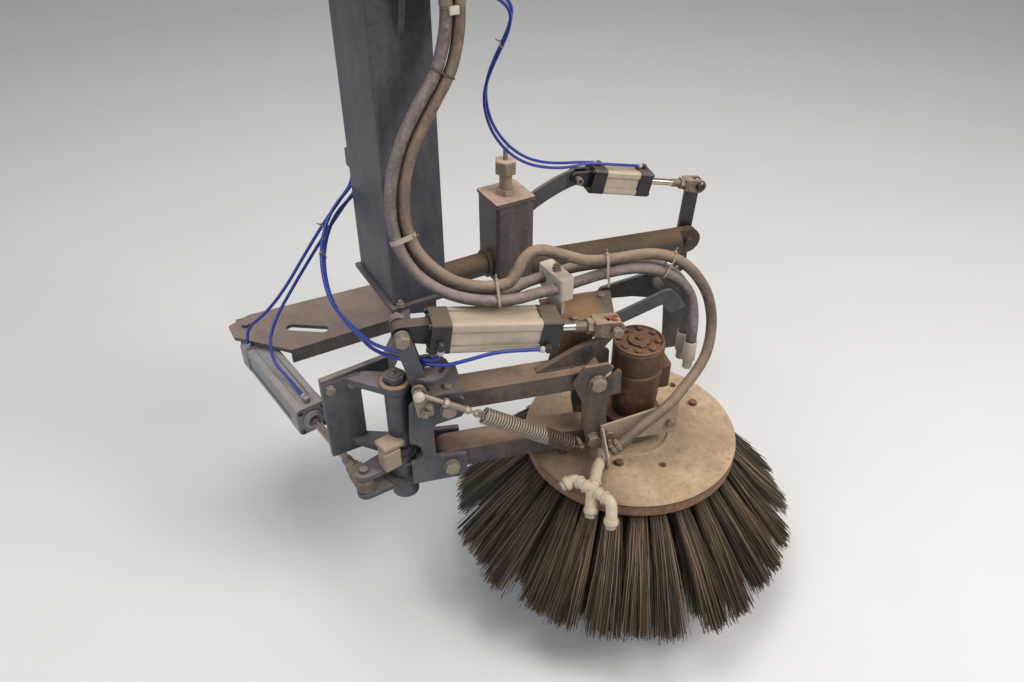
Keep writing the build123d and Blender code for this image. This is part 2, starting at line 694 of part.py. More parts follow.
# Spray pipe: feed bend with a collar on the tongue, manifold with one end turned down, and an outlet
SPRAY_R, BARB_R = 12.5, 10
COLLAR_R, COLLAR_T, OUTLET_R, OUTLET = 21, 6, 14, 50
SPRAY_TEE, OUTLET_WAY = arm(384, -170, 30), arm(372, -199, -10)
BARB_ROUTE = [arm(460, -77, 41), arm(BRACKET_LEFT, FEED_Y, FEED_H), arm(418, -104, 27)]
FEED_ROUTE = [arm(431, -87.6, 26.4), arm(418, -104, 27), arm(397, -146, 30), SPRAY_TEE]
MANIFOLD_ROUTE = [arm(334, -132, 21), arm(356, -128, 30), arm(412, -211, 30), arm(409, -226, 8),
                  arm(406, -234, -14)]
with BuildPart() as spray_pipe:
    add_tube(BARB_ROUTE, BARB_R)
    add_tube(FEED_ROUTE, SPRAY_R)
    add_tube(MANIFOLD_ROUTE, SPRAY_R)
    with BuildSketch(arm_across(BRACKET_LEFT)):
        with Locations((FEED_Y, FEED_H)):
            Circle(COLLAR_R)
    extrude(amount=-COLLAR_T)
    with BuildSketch(Plane(origin=SPRAY_TEE, z_dir=OUTLET_WAY - SPRAY_TEE)):
        Circle(OUTLET_R)
    extrude(amount=OUTLET)
finish(spray_pipe, "spray_pipe")

# Broom disc: dished plate with a skirt, an inner ring and a hub on the motor shaft
broom_side = Plane(origin=arm(BROOM_S, BROOM_Y, 0), x_dir=ARM_DIR, z_dir=-ARM_IN)
broom_axis = Axis(arm(BROOM_S, BROOM_Y, 0), (0, 0, 1))
with BuildPart() as broom_disc:
    with BuildSketch(broom_side):
        with BuildLine():
            Polyline((0, -14), (0, 0), (88, 0), (90, 3), (97, 3), (99, 0), (DISC_R - 4, 0), (DISC_R, -4),
                     (DISC_R, -DISC_T), (140, -DISC_T), (128, -14), close=True)
        make_face()
    revolve(axis=broom_axis)
    # Blind holes in the top face
    with BuildSketch(arm_level(-12)):
        with Locations((574, -108), (707, 149), (430, 12), (520, 168)):
            Circle(9)
    extrude(amount=12, mode=Mode.SUBTRACT)
finish(broom_disc, "broom_disc")

with BuildPart() as broom_hub:
    with BuildSketch(broom_side):
        with BuildLine():
            Polyline((0, 0), (56, 0), (56, 10), (26, 16), (19, 18), (19, 30), (0, 30), close=True)
        make_face()
    revolve(axis=broom_axis)
finish(broom_hub, "broom_hub")

# Bristle tufts: rings of tapered bundles that lean out to the tips
TUFT_ROWS = [  # count, ring radius, tip radius, root side, tip width, tip depth
    (30, 226, 425, 18, 46, 26),
    (24, 188, 352, 18, 46, 26),
    (18, 152, 280, 18, 46, 26),
]
with BuildPart() as bristles:
    for count, ring, tip, root, wide, deep in TUFT_ROWS:
        drop = TIP_DROP - DISC_T
        with BuildPart(mode=Mode.PRIVATE) as tuft:
            with BuildSketch(Plane(origin=(ring, 0, 0), x_dir=(0, 1, 0), z_dir=(0, 0, -1))):
                Rectangle(root, root * 0.8)
            with BuildSketch(Plane(origin=(tip, 0, -drop), x_dir=(0, 1, 0), z_dir=(0, 0, -1))):
                Rectangle(wide, deep)
            loft()
        broom_top = Plane(origin=arm(BROOM_S, BROOM_Y, -DISC_T), x_dir=ARM_DIR, z_dir=(0, 0, 1))
        with Locations(broom_top):
            with PolarLocations(0, count):
                add(tuft.part)
finish(bristles, "bristles")

# Air cylinders, from their tail pin to the pin of the rod's eye
BORE_SIDE, CAP = 72, 40
ROD_R, ROD_INSIDE = 10, 96
BOSS_R, BOSS_H, STUB_R, STUB, STUB_RISE = 8, 12, 5.5, 16, 6.5
UP = Vector(0, 0, 1)
CYLINDERS = [
    # name, tail point, eye point, pin direction, barrel start, barrel length, eye gap,
    # air fittings: place along the cylinder, side, shift across, way that the stub points
    ("swing", at(TAIL_X, TAIL_Y, SWING_H), at(LEVER_X, LEVER_PIN_Y, SWING_H), UP, 40, 330, 3.5,
     [(73.5, "pin", 26, None), (350, "pin", 0, "back")]),
    ("lift", arm(TAIL_S, 0, TAIL_H), arm(EYE_S, 0, EYE_H), ARM_IN, 56, 268, 2.2,
     [(76, "outboard", -10, "down"), (300, "outboard", -24, "back")]),
    ("nozzle", nozzle(NOZZLE_TAIL_D, 0, NOZZLE_TAIL_H), nozzle(LEVER_D + 11, 0, TUBE_H + 186), NOZZLE_IN, 40,
     185, 5, [(60, "top", 0, "back"), (205, "top", 0, "back")]),
]
AIR_PORTS = {}
for name, tail, eye, pin, start_at, length, gap, fittings in CYLINDERS:
    along = (eye - tail).normalized()
    reach = (eye - tail).length

    def cut(distance):
        """Plane across the cylinder at a distance from its tail pin."""
        return Plane(origin=tail + along * distance, x_dir=pin, z_dir=along)

    def flat(offset):
        """Plane square to the pins, with its X along the cylinder."""
        return Plane(origin=tail + pin * offset, x_dir=along, z_dir=pin)

    front = start_at + length
    with BuildPart() as barrel:
        with BuildSketch(cut(start_at + CAP)):
            RectangleRounded(BORE_SIDE, BORE_SIDE, 9)
            with Locations((0, BORE_SIDE / 2), (0, -BORE_SIDE / 2)):
                Rectangle(34, 6, mode=Mode.SUBTRACT)
            with Locations((BORE_SIDE / 2, 0), (-BORE_SIDE / 2, 0)):
                Rectangle(6, 34, mode=Mode.SUBTRACT)
        extrude(amount=length - 2 * CAP)
        with BuildSketch(cut(front - CAP - ROD_INSIDE)):
            Circle(ROD_R + 2)
        extrude(amount=ROD_INSIDE, mode=Mode.SUBTRACT)
    finish(barrel, f"{name}_barrel")

    with BuildPart() as caps:
        for begin in (start_at, start_at + length - CAP):
            with BuildSketch(cut(begin)):
                RectangleRounded(BORE_SIDE + 3, BORE_SIDE + 3, 12)
            extrude(amount=CAP)
        with BuildSketch(cut(front)):
            Circle(19)
        extrude(amount=8)
        with BuildSketch(cut(front - CAP)):
            Circle(ROD_R + RUN)
        extrude(amount=CAP + 8, mode=Mode.SUBTRACT)
        with BuildSketch(flat(0)):
            Circle(18)
            with Locations((start_at - 3, 0)):
                Rectangle(8, 46)
            make_hull()
            Circle(PIN_R + RUN, mode=Mode.SUBTRACT)
        if name == "nozzle":
            extrude(amount=20, both=True)
            with BuildSketch(flat(0)):
                with Locations((5, 0)):
                    Rectangle(50, 60)
            extrude(amount=8, both=True, mode=Mode.SUBTRACT)
        else:
            extrude(amount=14, both=True)
        top = along.cross(pin)
        if top.Z < 0:
            top = -top
        sides = {"pin": pin, "outboard": -pin, "top": top}
        AIR_PORTS[name] = []
        for place, side, shift, way in fittings:
            out = sides[side]
            foot = tail + along * place + out * (BORE_SIDE + 3) / 2 + top * shift
            with BuildSketch(Plane(origin=foot, x_dir=along, z_dir=out)):
                RegularPolygon(BOSS_R, 6)
            extrude(amount=BOSS_H)
            if way is None:
                AIR_PORTS[name].append((foot + out * BOSS_H, out))
                continue
            stub_way = -along if way == "back" else -top
            stub_foot = foot + out * STUB_RISE
            with BuildSketch(Plane(origin=stub_foot, z_dir=stub_way)):
                Circle(STUB_R)
            extrude(amount=STUB)
            AIR_PORTS[name].append((stub_foot + stub_way * STUB, stub_way))
    finish(caps, f"{name}_caps")

    with BuildPart() as rod:
        with BuildSketch(cut(front - CAP - 55)):
            Circle(ROD_R)
        extrude(amount=reach - front + CAP + 55 - 30)
        with BuildSketch(cut(reach - 62)):
            RegularPolygon(17, 6)
        extrude(amount=14)
        with BuildSketch(flat(0)):
            with Locations((reach, 0)):
                Circle(20)
            with Locations((reach - 40, 0)):
                Rectangle(16, 32)
            make_hull()
            with Locations((reach, 0)):
                Circle(PIN_R + gap, mode=Mode.SUBTRACT)
        extrude(amount=15 if name == "swing" else 19, both=True)
        if name != "swing":
            with BuildSketch(flat(0)):
                with Locations((reach + 4, 0)):
                    Rectangle(50, 60)
            extrude(amount=9, both=True, mode=Mode.SUBTRACT)
    finish(rod, f"{name}_rod")

# Nozzle lever on the pin of the nozzle arm
LEVER_TOP_H, LEVER_LOW_H = TUBE_H + 186, -60
with BuildPart() as nozzle_lever:
    with BuildSketch(nozzle_side(LEVER_Y + 6)):
        with BuildLine():
            Polyline((LEVER_D + 11, LEVER_TOP_H), (LEVER_D, TUBE_H), (LEVER_D, LEVER_LOW_H))
        trace(line_width=44)
        with Locations((LEVER_D, TUBE_H)):
            Circle(PIN_R + RUN, mode=Mode.SUBTRACT)
        with Locations((LEVER_D, LEVER_LOW_H)):
            Circle(22)
            Circle(PIN_R, mode=Mode.SUBTRACT)
    extrude(amount=6, both=True)
    with BuildSketch(nozzle_side(LEVER_Y)):
        with Locations((LEVER_D + 11, LEVER_TOP_H)):
            Circle(PIN_R)
    extrude(amount=LEVER_Y + 26)
finish(nozzle_lever, "nozzle_lever")

# Hose bulkhead under the head plate: plate, nuts and ferrules where the three hoses begin
BULKHEAD_LOW, BULKHEAD_T = -HEAD_T - 6, 6
NUT_H, HOSE_TOP = 10, -46
HOSE_STARTS = [(93, -170), (66, -170), (79.5, -146)]
with BuildPart() as hose_bulkhead:
    with BuildSketch(Plane.XY.offset(BULKHEAD_LOW)):
        with BuildLine():
            Polyline((20, -106), (60, -106), (60, -130), (118, -130), (118, -200), (40, -200), (20, -150), close=True)
        make_face()
    extrude(amount=BULKHEAD_T)
    with BuildSketch(Plane.XY.offset(BULKHEAD_LOW - NUT_H)):
        with Locations(*HOSE_STARTS):
            RegularPolygon(13, 6)
    extrude(amount=NUT_H)
    with BuildSketch(Plane.XY.offset(BULKHEAD_LOW + BULKHEAD_T)):
        with Locations(*HOSE_STARTS):
            RegularPolygon(12, 6)
    extrude(amount=NUT_H)
    with BuildSketch(Plane.XY.offset(HOSE_TOP)):
        with Locations(*HOSE_STARTS):
            Circle(HOSE_R + 1)
    extrude(amount=BULKHEAD_LOW - NUT_H - HOSE_TOP)
finish(hose_bulkhead, "hose_bulkhead")

# Hoses, cut at the ties: drop from the bulkhead, crossing to the clamp, and hump over the motor
WATER = joined(
    [Vector(93, -170, HOSE_TOP), Vector(93, -170, -74), Vector(84, -173, -120), Vector(66, -178, -168),
     Vector(20, -185, -225),
     Vector(-29, -193, -289), Vector(-59, -203, -363), Vector(-68, -218, -443), Vector(-52, -246, -502),
     arm(136, 64, 460), arm(190, 31, 457)],
    [arm(248, 25, 458), arm(264, 32, 475), arm(277, 42, 493), arm(296, 52, 508), arm(318, 58, 510),
     arm(342, 63, 500), arm(369, 66, 486), arm(399, 68, 472), arm(430, 68, 459)],
    [arm(496, 64, 459), arm(532, 62, 463), arm(566, 61, 462), arm(599, 59, 454), arm(630, 57, 439),
     arm(658, 55, 416), arm(684, 53, 384), arm(706, 49, 347), arm(717, 43, 310), arm(721, 34, 275),
     arm(715, 19, 239), arm(700, 0, 209), arm(672, -21, 188), arm(637, -42, 167), arm(597, -64, 143),
     arm(554, -69, 113), arm(514, -74, 88), arm(479, -79, 56), arm(460, -77, 41)])
OUTER = joined(
    [Vector(66, -170, HOSE_TOP), Vector(66, -170, -74), Vector(54, -173, -119), Vector(35, -178, -167),
     Vector(-12, -185, -219),
     Vector(-58, -193, -286), Vector(-87, -203, -358), Vector(-97, -218, -440), Vector(-81, -246, -515),
     arm(108, 57, 445), arm(178, 14, 436)],
    [arm(262, 12, 428), arm(308, 38, 419), in_clamp(-1, -30)],
    [in_clamp(-1, 30), arm(438, 67, 420), arm(472, 63, 428),
     arm(505, 61, 432), arm(539, 60, 431), arm(572, 58, 424), arm(604, 56, 411), arm(632, 54, 392),
     arm(655, 52, 368), arm(670, 49, 339), arm(673, 37, 307), arm(ELBOW_S, PORT_OFFSETS[0], 274),
     arm(ELBOW_S, PORT_OFFSETS[0], FERRULE_HIGH)])
INNER = joined(
    [Vector(79.5, -146, HOSE_TOP), Vector(79.5, -146, -74), Vector(69, -149, -119), Vector(49, -153, -167),
     Vector(3, -160, -222),
     Vector(-44, -168, -288), Vector(-73, -178, -361), Vector(-83, -193, -441), Vector(-67, -221, -509),
     arm(129, 85, 440), arm(190, 46, 432)],
    [arm(260, 48, 428), arm(290, 78, 420), in_clamp(1, -30)],
    [in_clamp(1, 30), arm(424, 117, 418), arm(460, 104, 427),
     arm(497, 93, 432), arm(535, 88, 431), arm(572, 87, 424), arm(604, 86, 411), arm(632, 85, 392),
     arm(655, 83, 368), arm(670, 80, 339), arm(674, 71, 307), arm(ELBOW_S, PORT_OFFSETS[1], 274),
     arm(ELBOW_S, PORT_OFFSETS[1], FERRULE_HIGH)])
for name, routes in (("water", WATER), ("outer", OUTER), ("inner", INNER)):
    for stretch, points in zip(("drop", "cross", "feed"), routes):
        hose(f"{name}_{stretch}", points, HOSE_R)

# Blocks that the air tubes come out of: one on the hanger's inboard flange, one under the head plate
TUBE_START_Z, NIPPLE = -458, 6
NIPPLE_Z = -HEAD_T - 11
with BuildPart() as tube_blocks:
    with BuildSketch(Plane.XY.offset(TUBE_START_Z + NIPPLE)):
        with Locations((-40, HANGER_D / 2 + 14)):
            RectangleRounded(42, 28, 3)
    extrude(amount=40)
    with BuildSketch(Plane.XY.offset(TUBE_START_Z)):
        with Locations((-40, HANGER_D / 2 + 14)):
            with GridLocations(20, 12, 2, 2):
                Circle(5.5)
    extrude(amount=NIPPLE)
    with BuildSketch(Plane.XY.offset(-HEAD_T - 22)):
        with Locations((84, 35)):
            RectangleRounded(24, 40, 3)
    extrude(amount=22)
    with BuildSketch(Plane.YZ.offset(96)):
        with Locations((26, NIPPLE_Z), (44, NIPPLE_Z)):
            Circle(5.5)
    extrude(amount=10)
finish(tube_blocks, "tube_blocks")

# Air tubes from the blocks to the cylinders' fittings; those of the lift cylinder are cut at a tie
AIR_R = 4
LAST_RUN = 34


def into(port, run=LAST_RUN):
    """The last two points of a tube that goes straight into a fitting."""
    end, way = port
    return [end + way * run, end]


LIFT_REAR = joined(
    [Vector(-50, 113, TUBE_START_Z), Vector(-50, 113, -484), Vector(-72, 114, -508), Vector(-114, 96, -530),
     Vector(-150, 64, -556), Vector(-179, 21, -588), Vector(-197, -32, -619), Vector(-206, -90, -643),
     Vector(-203, -150, -653), Vector(-191, -208, -657), arm(-36, 52, 343), arm(14, 12, 342)],
    into(AIR_PORTS["lift"][0], 24))
LIFT_FRONT = joined(
    [Vector(-30, 113, TUBE_START_Z), Vector(-30, 113, -500), Vector(-66, 115, -528), Vector(-108, 100, -548),
     Vector(-144, 68, -573), Vector(-173, 26, -604), Vector(-191, -28, -635), Vector(-199, -86, -659),
     Vector(-197, -146, -669), Vector(-186, -202, -674), arm(-36, 56, 326), arm(8, 14, 325)],
    [arm(96, -38, 321), arm(142, -48, 331), arm(196, -46, 344), *into(AIR_PORTS["lift"][1], 50)])
AIR_ROUTES = {
    "swing_tube_rear": [
        Vector(-50, 125, TUBE_START_Z), Vector(-50, 125, -492), Vector(-88, 130, -536), Vector(-136, 134, -590),
        Vector(-190, 138, -660), Vector(-247, 148, -742), Vector(-300, 172, -812),
        *into(AIR_PORTS["swing"][0], 45)],
    "swing_tube_front": [
        Vector(-30, 125, TUBE_START_Z), Vector(-30, 125, -500), Vector(-70, 140, -550), Vector(-120, 147, -612),
        Vector(-174, 152, -680), Vector(-228, 154, -750), Vector(-276, 151, -810), Vector(-312, 126, -856),
        Vector(-320, 82, -892), Vector(-306, 34, -906), *into(AIR_PORTS["swing"][1])],
    "lift_tube_rear_drop": LIFT_REAR[0],
    "lift_tube_front_drop": LIFT_FRONT[0],
    "lift_tube_rear": LIFT_REAR[1],
    "lift_tube_front": LIFT_FRONT[1],
    "nozzle_tube_rear": [
        Vector(106, 44, NIPPLE_Z), Vector(150, 44, NIPPLE_Z), Vector(207, 49, -50), Vector(270, 55, -90),
        Vector(335, 62, -132), Vector(338, 76, -180), Vector(326, 90, -222), Vector(312, 105, -264),
        Vector(300, 117, -306), Vector(298, 128, -350), Vector(311, 141, -405), Vector(338, 155, -461),
        Vector(385, 170, -522), Vector(446, 185, -574), Vector(515, 199, -609), Vector(586, 209, -630),
        *into(AIR_PORTS["nozzle"][0])],
    "nozzle_tube_front": [
        Vector(106, 26, NIPPLE_Z), Vector(150, 26, NIPPLE_Z), Vector(203, 33, -56), Vector(266, 41, -98),
        Vector(325, 48, -142), Vector(327, 62, -190), Vector(314, 76, -232), Vector(300, 91, -274),
        Vector(288, 103, -316), Vector(286, 114, -360), Vector(300, 127, -415), Vector(328, 141, -471),
        Vector(376, 156, -532), Vector(438, 170, -582), Vector(508, 182, -615), Vector(580, 187, -634),
        nozzle(232, -20, 366), nozzle(300, -22, 352), *into(AIR_PORTS["nozzle"][1])],
}
for name, points in AIR_ROUTES.items():
    hose(name, points, AIR_R)
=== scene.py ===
import math

import bmesh
import bpy
from mathutils import Matrix, Vector


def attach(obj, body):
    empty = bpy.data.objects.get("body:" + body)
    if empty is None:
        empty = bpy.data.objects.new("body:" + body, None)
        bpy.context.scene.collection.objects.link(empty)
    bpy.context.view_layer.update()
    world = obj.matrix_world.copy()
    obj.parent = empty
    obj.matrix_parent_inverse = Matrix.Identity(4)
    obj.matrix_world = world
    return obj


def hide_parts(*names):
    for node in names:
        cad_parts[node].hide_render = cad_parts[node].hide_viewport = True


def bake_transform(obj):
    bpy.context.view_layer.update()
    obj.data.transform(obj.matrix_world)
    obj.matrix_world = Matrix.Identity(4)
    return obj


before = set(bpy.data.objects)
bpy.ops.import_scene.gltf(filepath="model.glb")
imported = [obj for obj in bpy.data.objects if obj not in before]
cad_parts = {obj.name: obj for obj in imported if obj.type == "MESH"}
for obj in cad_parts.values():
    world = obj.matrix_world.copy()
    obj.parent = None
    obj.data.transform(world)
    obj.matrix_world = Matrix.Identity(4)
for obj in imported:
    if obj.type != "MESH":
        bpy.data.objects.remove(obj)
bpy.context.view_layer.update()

# places in mm and directions: the truck's own, along the broom arm, and along the nozzle arm
places = {"discTop": -1000, "armFoot": (-161, -327), "armYaw": -15, "broom": (547, 30), "post": (424, 257),
          "nozzleYaw": -12.5}


def turned(yaw):
    return Vector((math.cos(math.radians(yaw)), math.sin(math.radians(yaw)), 0))


armDir, armIn = turned(places["armYaw"]), turned(places["armYaw"] + 90)
nozzleDir, nozzleIn = turned(places["nozzleYaw"]), turned(places["nozzleYaw"] + 90)
up, outboard = Vector((0, 0, 1)), -armIn


def truck(x, y, z):
    return Vector((x, y, z))


def at(x, y, h):  # heights over the broom's board
    return Vector((x, y, places["discTop"] + h))


def arm(s, y, h):
    return at(*places["armFoot"], h) + armDir * s + armIn * y


def nozzle(d, y, h):
    return at(*places["post"], h) + nozzleDir * d + nozzleIn * y


def overBroom(h, s=0, y=0):
    return arm(places["broom"][0] + s, places["broom"][1] + y, h)


# the camera at standing height beside the truck
cameraSetup = {"place": (-0.610, -1.613, 0.392), "pitch": 37, "heading": 29.4, "focus": 850, "width": 1024,
               "sensor": 36, "nearest": 0.02}
lens = bpy.data.cameras.new("standingView")
lens.sensor_width = cameraSetup["sensor"]
lens.lens = cameraSetup["focus"] / cameraSetup["width"] * cameraSetup["sensor"]
lens.clip_start = cameraSetup["nearest"]
camera = bpy.data.objects.new("standingView", lens)
camera.location = cameraSetup["place"]
camera.rotation_euler = (math.radians(90 - cameraSetup["pitch"]), 0, -math.radians(cameraSetup["heading"]))
bpy.context.collection.objects.link(camera)
bpy.context.scene.camera = camera
bpy.context.scene.view_settings.view_transform = "Standard"


# numbers on a shader or geometry tree, written as sums
class wire:
    def __init__(self, board, socket):
        self.board, self.socket = board, socket

    def __add__(self, other):
        return self.board.maths("ADD", self, other)

    def __radd__(self, other):
        return self.board.maths("ADD", other, self)

    def __sub__(self, other):
        return self.board.maths("SUBTRACT", self, other)

    def __rsub__(self, other):
        return self.board.maths("SUBTRACT", other, self)

    def __mul__(self, other):
        return self.board.maths("MULTIPLY", self, other)

    def __rmul__(self, other):
        return self.board.maths("MULTIPLY", other, self)

    def __truediv__(self, other):
        return self.board.maths("DIVIDE", self, other)

    def clamped(self):
        return self.board.node("ShaderNodeClamp", {}, {0: self})

    def above(self, edge, soft):
        return ((self - edge) / soft).clamped()


# one node with its settings and inputs; the other methods are short words for nodes used often
class board:
    def __init__(self, tree, material=None):
        self.tree, self.material = tree, material

    def node(self, kind, settings=None, values=None, out=0):
        made = self.tree.nodes.new(kind)
        for key, value in (settings or {}).items():
            setattr(made, key, value)
        for key, value in (values or {}).items():
            if isinstance(value, wire):
                self.tree.links.new(value.socket, made.inputs[key])
            else:
                made.inputs[key].default_value = value
        return wire(self, made.outputs[out])

    def maths(self, operation, *numbers):
        return self.node("ShaderNodeMath", {"operation": operation}, dict(enumerate(numbers)))

    def vectors(self, operation, *vectors):
        out = "Value" if operation in ("DOT_PRODUCT", "LENGTH") else "Vector"
        return self.node("ShaderNodeVectorMath", {"operation": operation}, dict(enumerate(vectors)), out)

    def part(self, vector, axis):
        return self.node("ShaderNodeSeparateXYZ", {}, {0: vector}, axis)

    def vector(self, *parts):
        return self.node("ShaderNodeCombineXYZ", {}, dict(enumerate(parts)))

    def noise(self, place, scale, detail=4.0, rough=0.55):
        return self.node("ShaderNodeTexNoise", {},
                         {"Vector": place, "Scale": scale, "Detail": detail, "Roughness": rough})

    def mixed(self, factor, first, second):
        colours = [colour if isinstance(colour, wire) else (*colour, 1) for colour in (first, second)]
        return self.node("ShaderNodeMix", {"data_type": "RGBA", "clamp_factor": True},
                         {0: factor, 6: colours[0], 7: colours[1]}, 2)

    def facing(self):
        return self.node("ShaderNodeNewGeometry", out="Normal")

    def softEdge(self, radius):
        return self.node("ShaderNodeBevel", {"samples": 4}, {"Radius": radius})

    def bump(self, strength, distance, height, **normal):
        return self.node("ShaderNodeBump", {},
                         {"Strength": strength, "Distance": distance, "Height": height, **normal})

    def finished(self, values):
        shader = self.node("ShaderNodeBsdfPrincipled", {}, values)
        output = self.tree.nodes.new("ShaderNodeOutputMaterial")
        self.tree.links.new(shader.socket, output.inputs["Surface"])
        return self.material


def newFinish(name):
    material = bpy.data.materials.new(name)
    material.use_nodes = True
    material.node_tree.nodes.clear()
    paint = board(material.node_tree, material)
    return paint, paint.node("ShaderNodeTexCoord", out="Object")


# what a weathered look has where it names nothing else; scales per metre, the rest are shares
plainLook = {"patches": 9, "specks": 70, "grain": 420, "edge": 0.003, "wear": 0.5, "streak": 0.35,
             "film": 0.3, "lying": 0.85, "rusting": 0.0, "grime": 0.75, "rough": 0.5, "metal": 0.0,
             "rust": (0.17, 0.06, 0.025), "rustLight": (0.30, 0.13, 0.06), "bare": (0.20, 0.15, 0.12)}
# painted shade in hollows and creases: its dark tone, and how far the occlusion looks
paintedHollowShade = {"tone": (0.016, 0.012, 0.010), "reach": 0.018}


# old paint or metal: patches of tone, streaks, dust on upward faces, rust, worn edges, and painted shade in
# hollows
def weathered(name, given):
    look = {**plainLook, "shade": given["base"], "dustLight": given["dust"], **given}
    paint, place = newFinish(name)
    facing, soft = paint.facing(), paint.softEdge(look["edge"])
    upward = paint.part(facing, "Z")
    patches = paint.noise(place, look["patches"], 6, 0.62)
    specks = paint.noise(place, look["specks"], 8, 0.7)
    grain = paint.noise(place, look["grain"], 4, 0.6)
    tall = paint.node("ShaderNodeMapping", {}, {"Vector": place, "Scale": (1, 1, 0.12)})
    streaks = paint.noise(tall, 34, 5, 0.6)
    likeness = paint.vectors("DOT_PRODUCT", soft, facing)
    edges = ((1 - likeness) * 7 + (specks - 0.55) * 1.3).above(0.16, 0.35) * look["wear"]

    base, shade, dust, dustLight = look["base"], look["shade"], look["dust"], look["dustLight"]
    if "beyond" in look:  # another tone past a plane across the piece
        other = look["beyond"]
        away = paint.vectors("SUBTRACT", place, tuple(other["from"] / 1000))
        distance = paint.vectors("DOT_PRODUCT", away, tuple(other["way"]))
        past = (distance + (patches - 0.5) * other["ragged"]).above(0.0, other["over"])
        base, shade, dust, dustLight = (paint.mixed(past, look[part], other[part])
                                        for part in ("base", "shade", "dust", "dustLight"))
    tone = paint.mixed(patches.above(0.35, 0.3), base, shade)
    tone = paint.mixed(streaks.above(0.50, 0.22) * look["streak"], tone, dust)
    film = paint.mixed((specks * 0.5 + patches * 0.5).above(0.40, 0.25) * look["film"], tone, dust)
    lying = upward.above(0.30, 0.55) * (0.55 + patches * 0.75) + (specks - 0.5) * 0.35
    lying = lying.clamped() * look["lying"]
    dustTone = paint.mixed((specks * 0.4 + patches * 0.6).above(0.28, 0.5), dust, dustLight)
    dusted = paint.mixed(lying, film, dustTone)
    spots = ((patches * 0.45 + specks * 0.55) - 0.5 + look["rusting"]).above(0.04, 0.06)
    rust = paint.mixed(grain.above(0.4, 0.2), look["rust"], look["rustLight"])
    colour = paint.mixed(edges, paint.mixed(spots * 0.7, dusted, rust), look["bare"])
    # painted shade: darker where ambient occlusion finds the surface closed in
    openness = paint.node("ShaderNodeAmbientOcclusion", {"samples": 4, "only_local": True},
                          {"Distance": paintedHollowShade["reach"]}, "AO")
    colour = paint.mixed((0.92 - openness).clamped() * look["grime"], colour, paintedHollowShade["tone"])
    cover = (lying + spots * 0.5).clamped()
    rough = look["rough"] + cover * (0.88 - look["rough"]) + (grain - 0.5) * 0.1
    relief = grain * 0.35 + specks * 0.9 + cover * 0.5
    values = {"Base Color": colour, "Roughness": rough.clamped(),
              "Normal": paint.bump(0.35, 0.0012, relief, Normal=soft)}
    if look["metal"]:
        values["Metallic"] = (look["metal"] * (1 - cover)).clamped()
    return paint.finished(values)
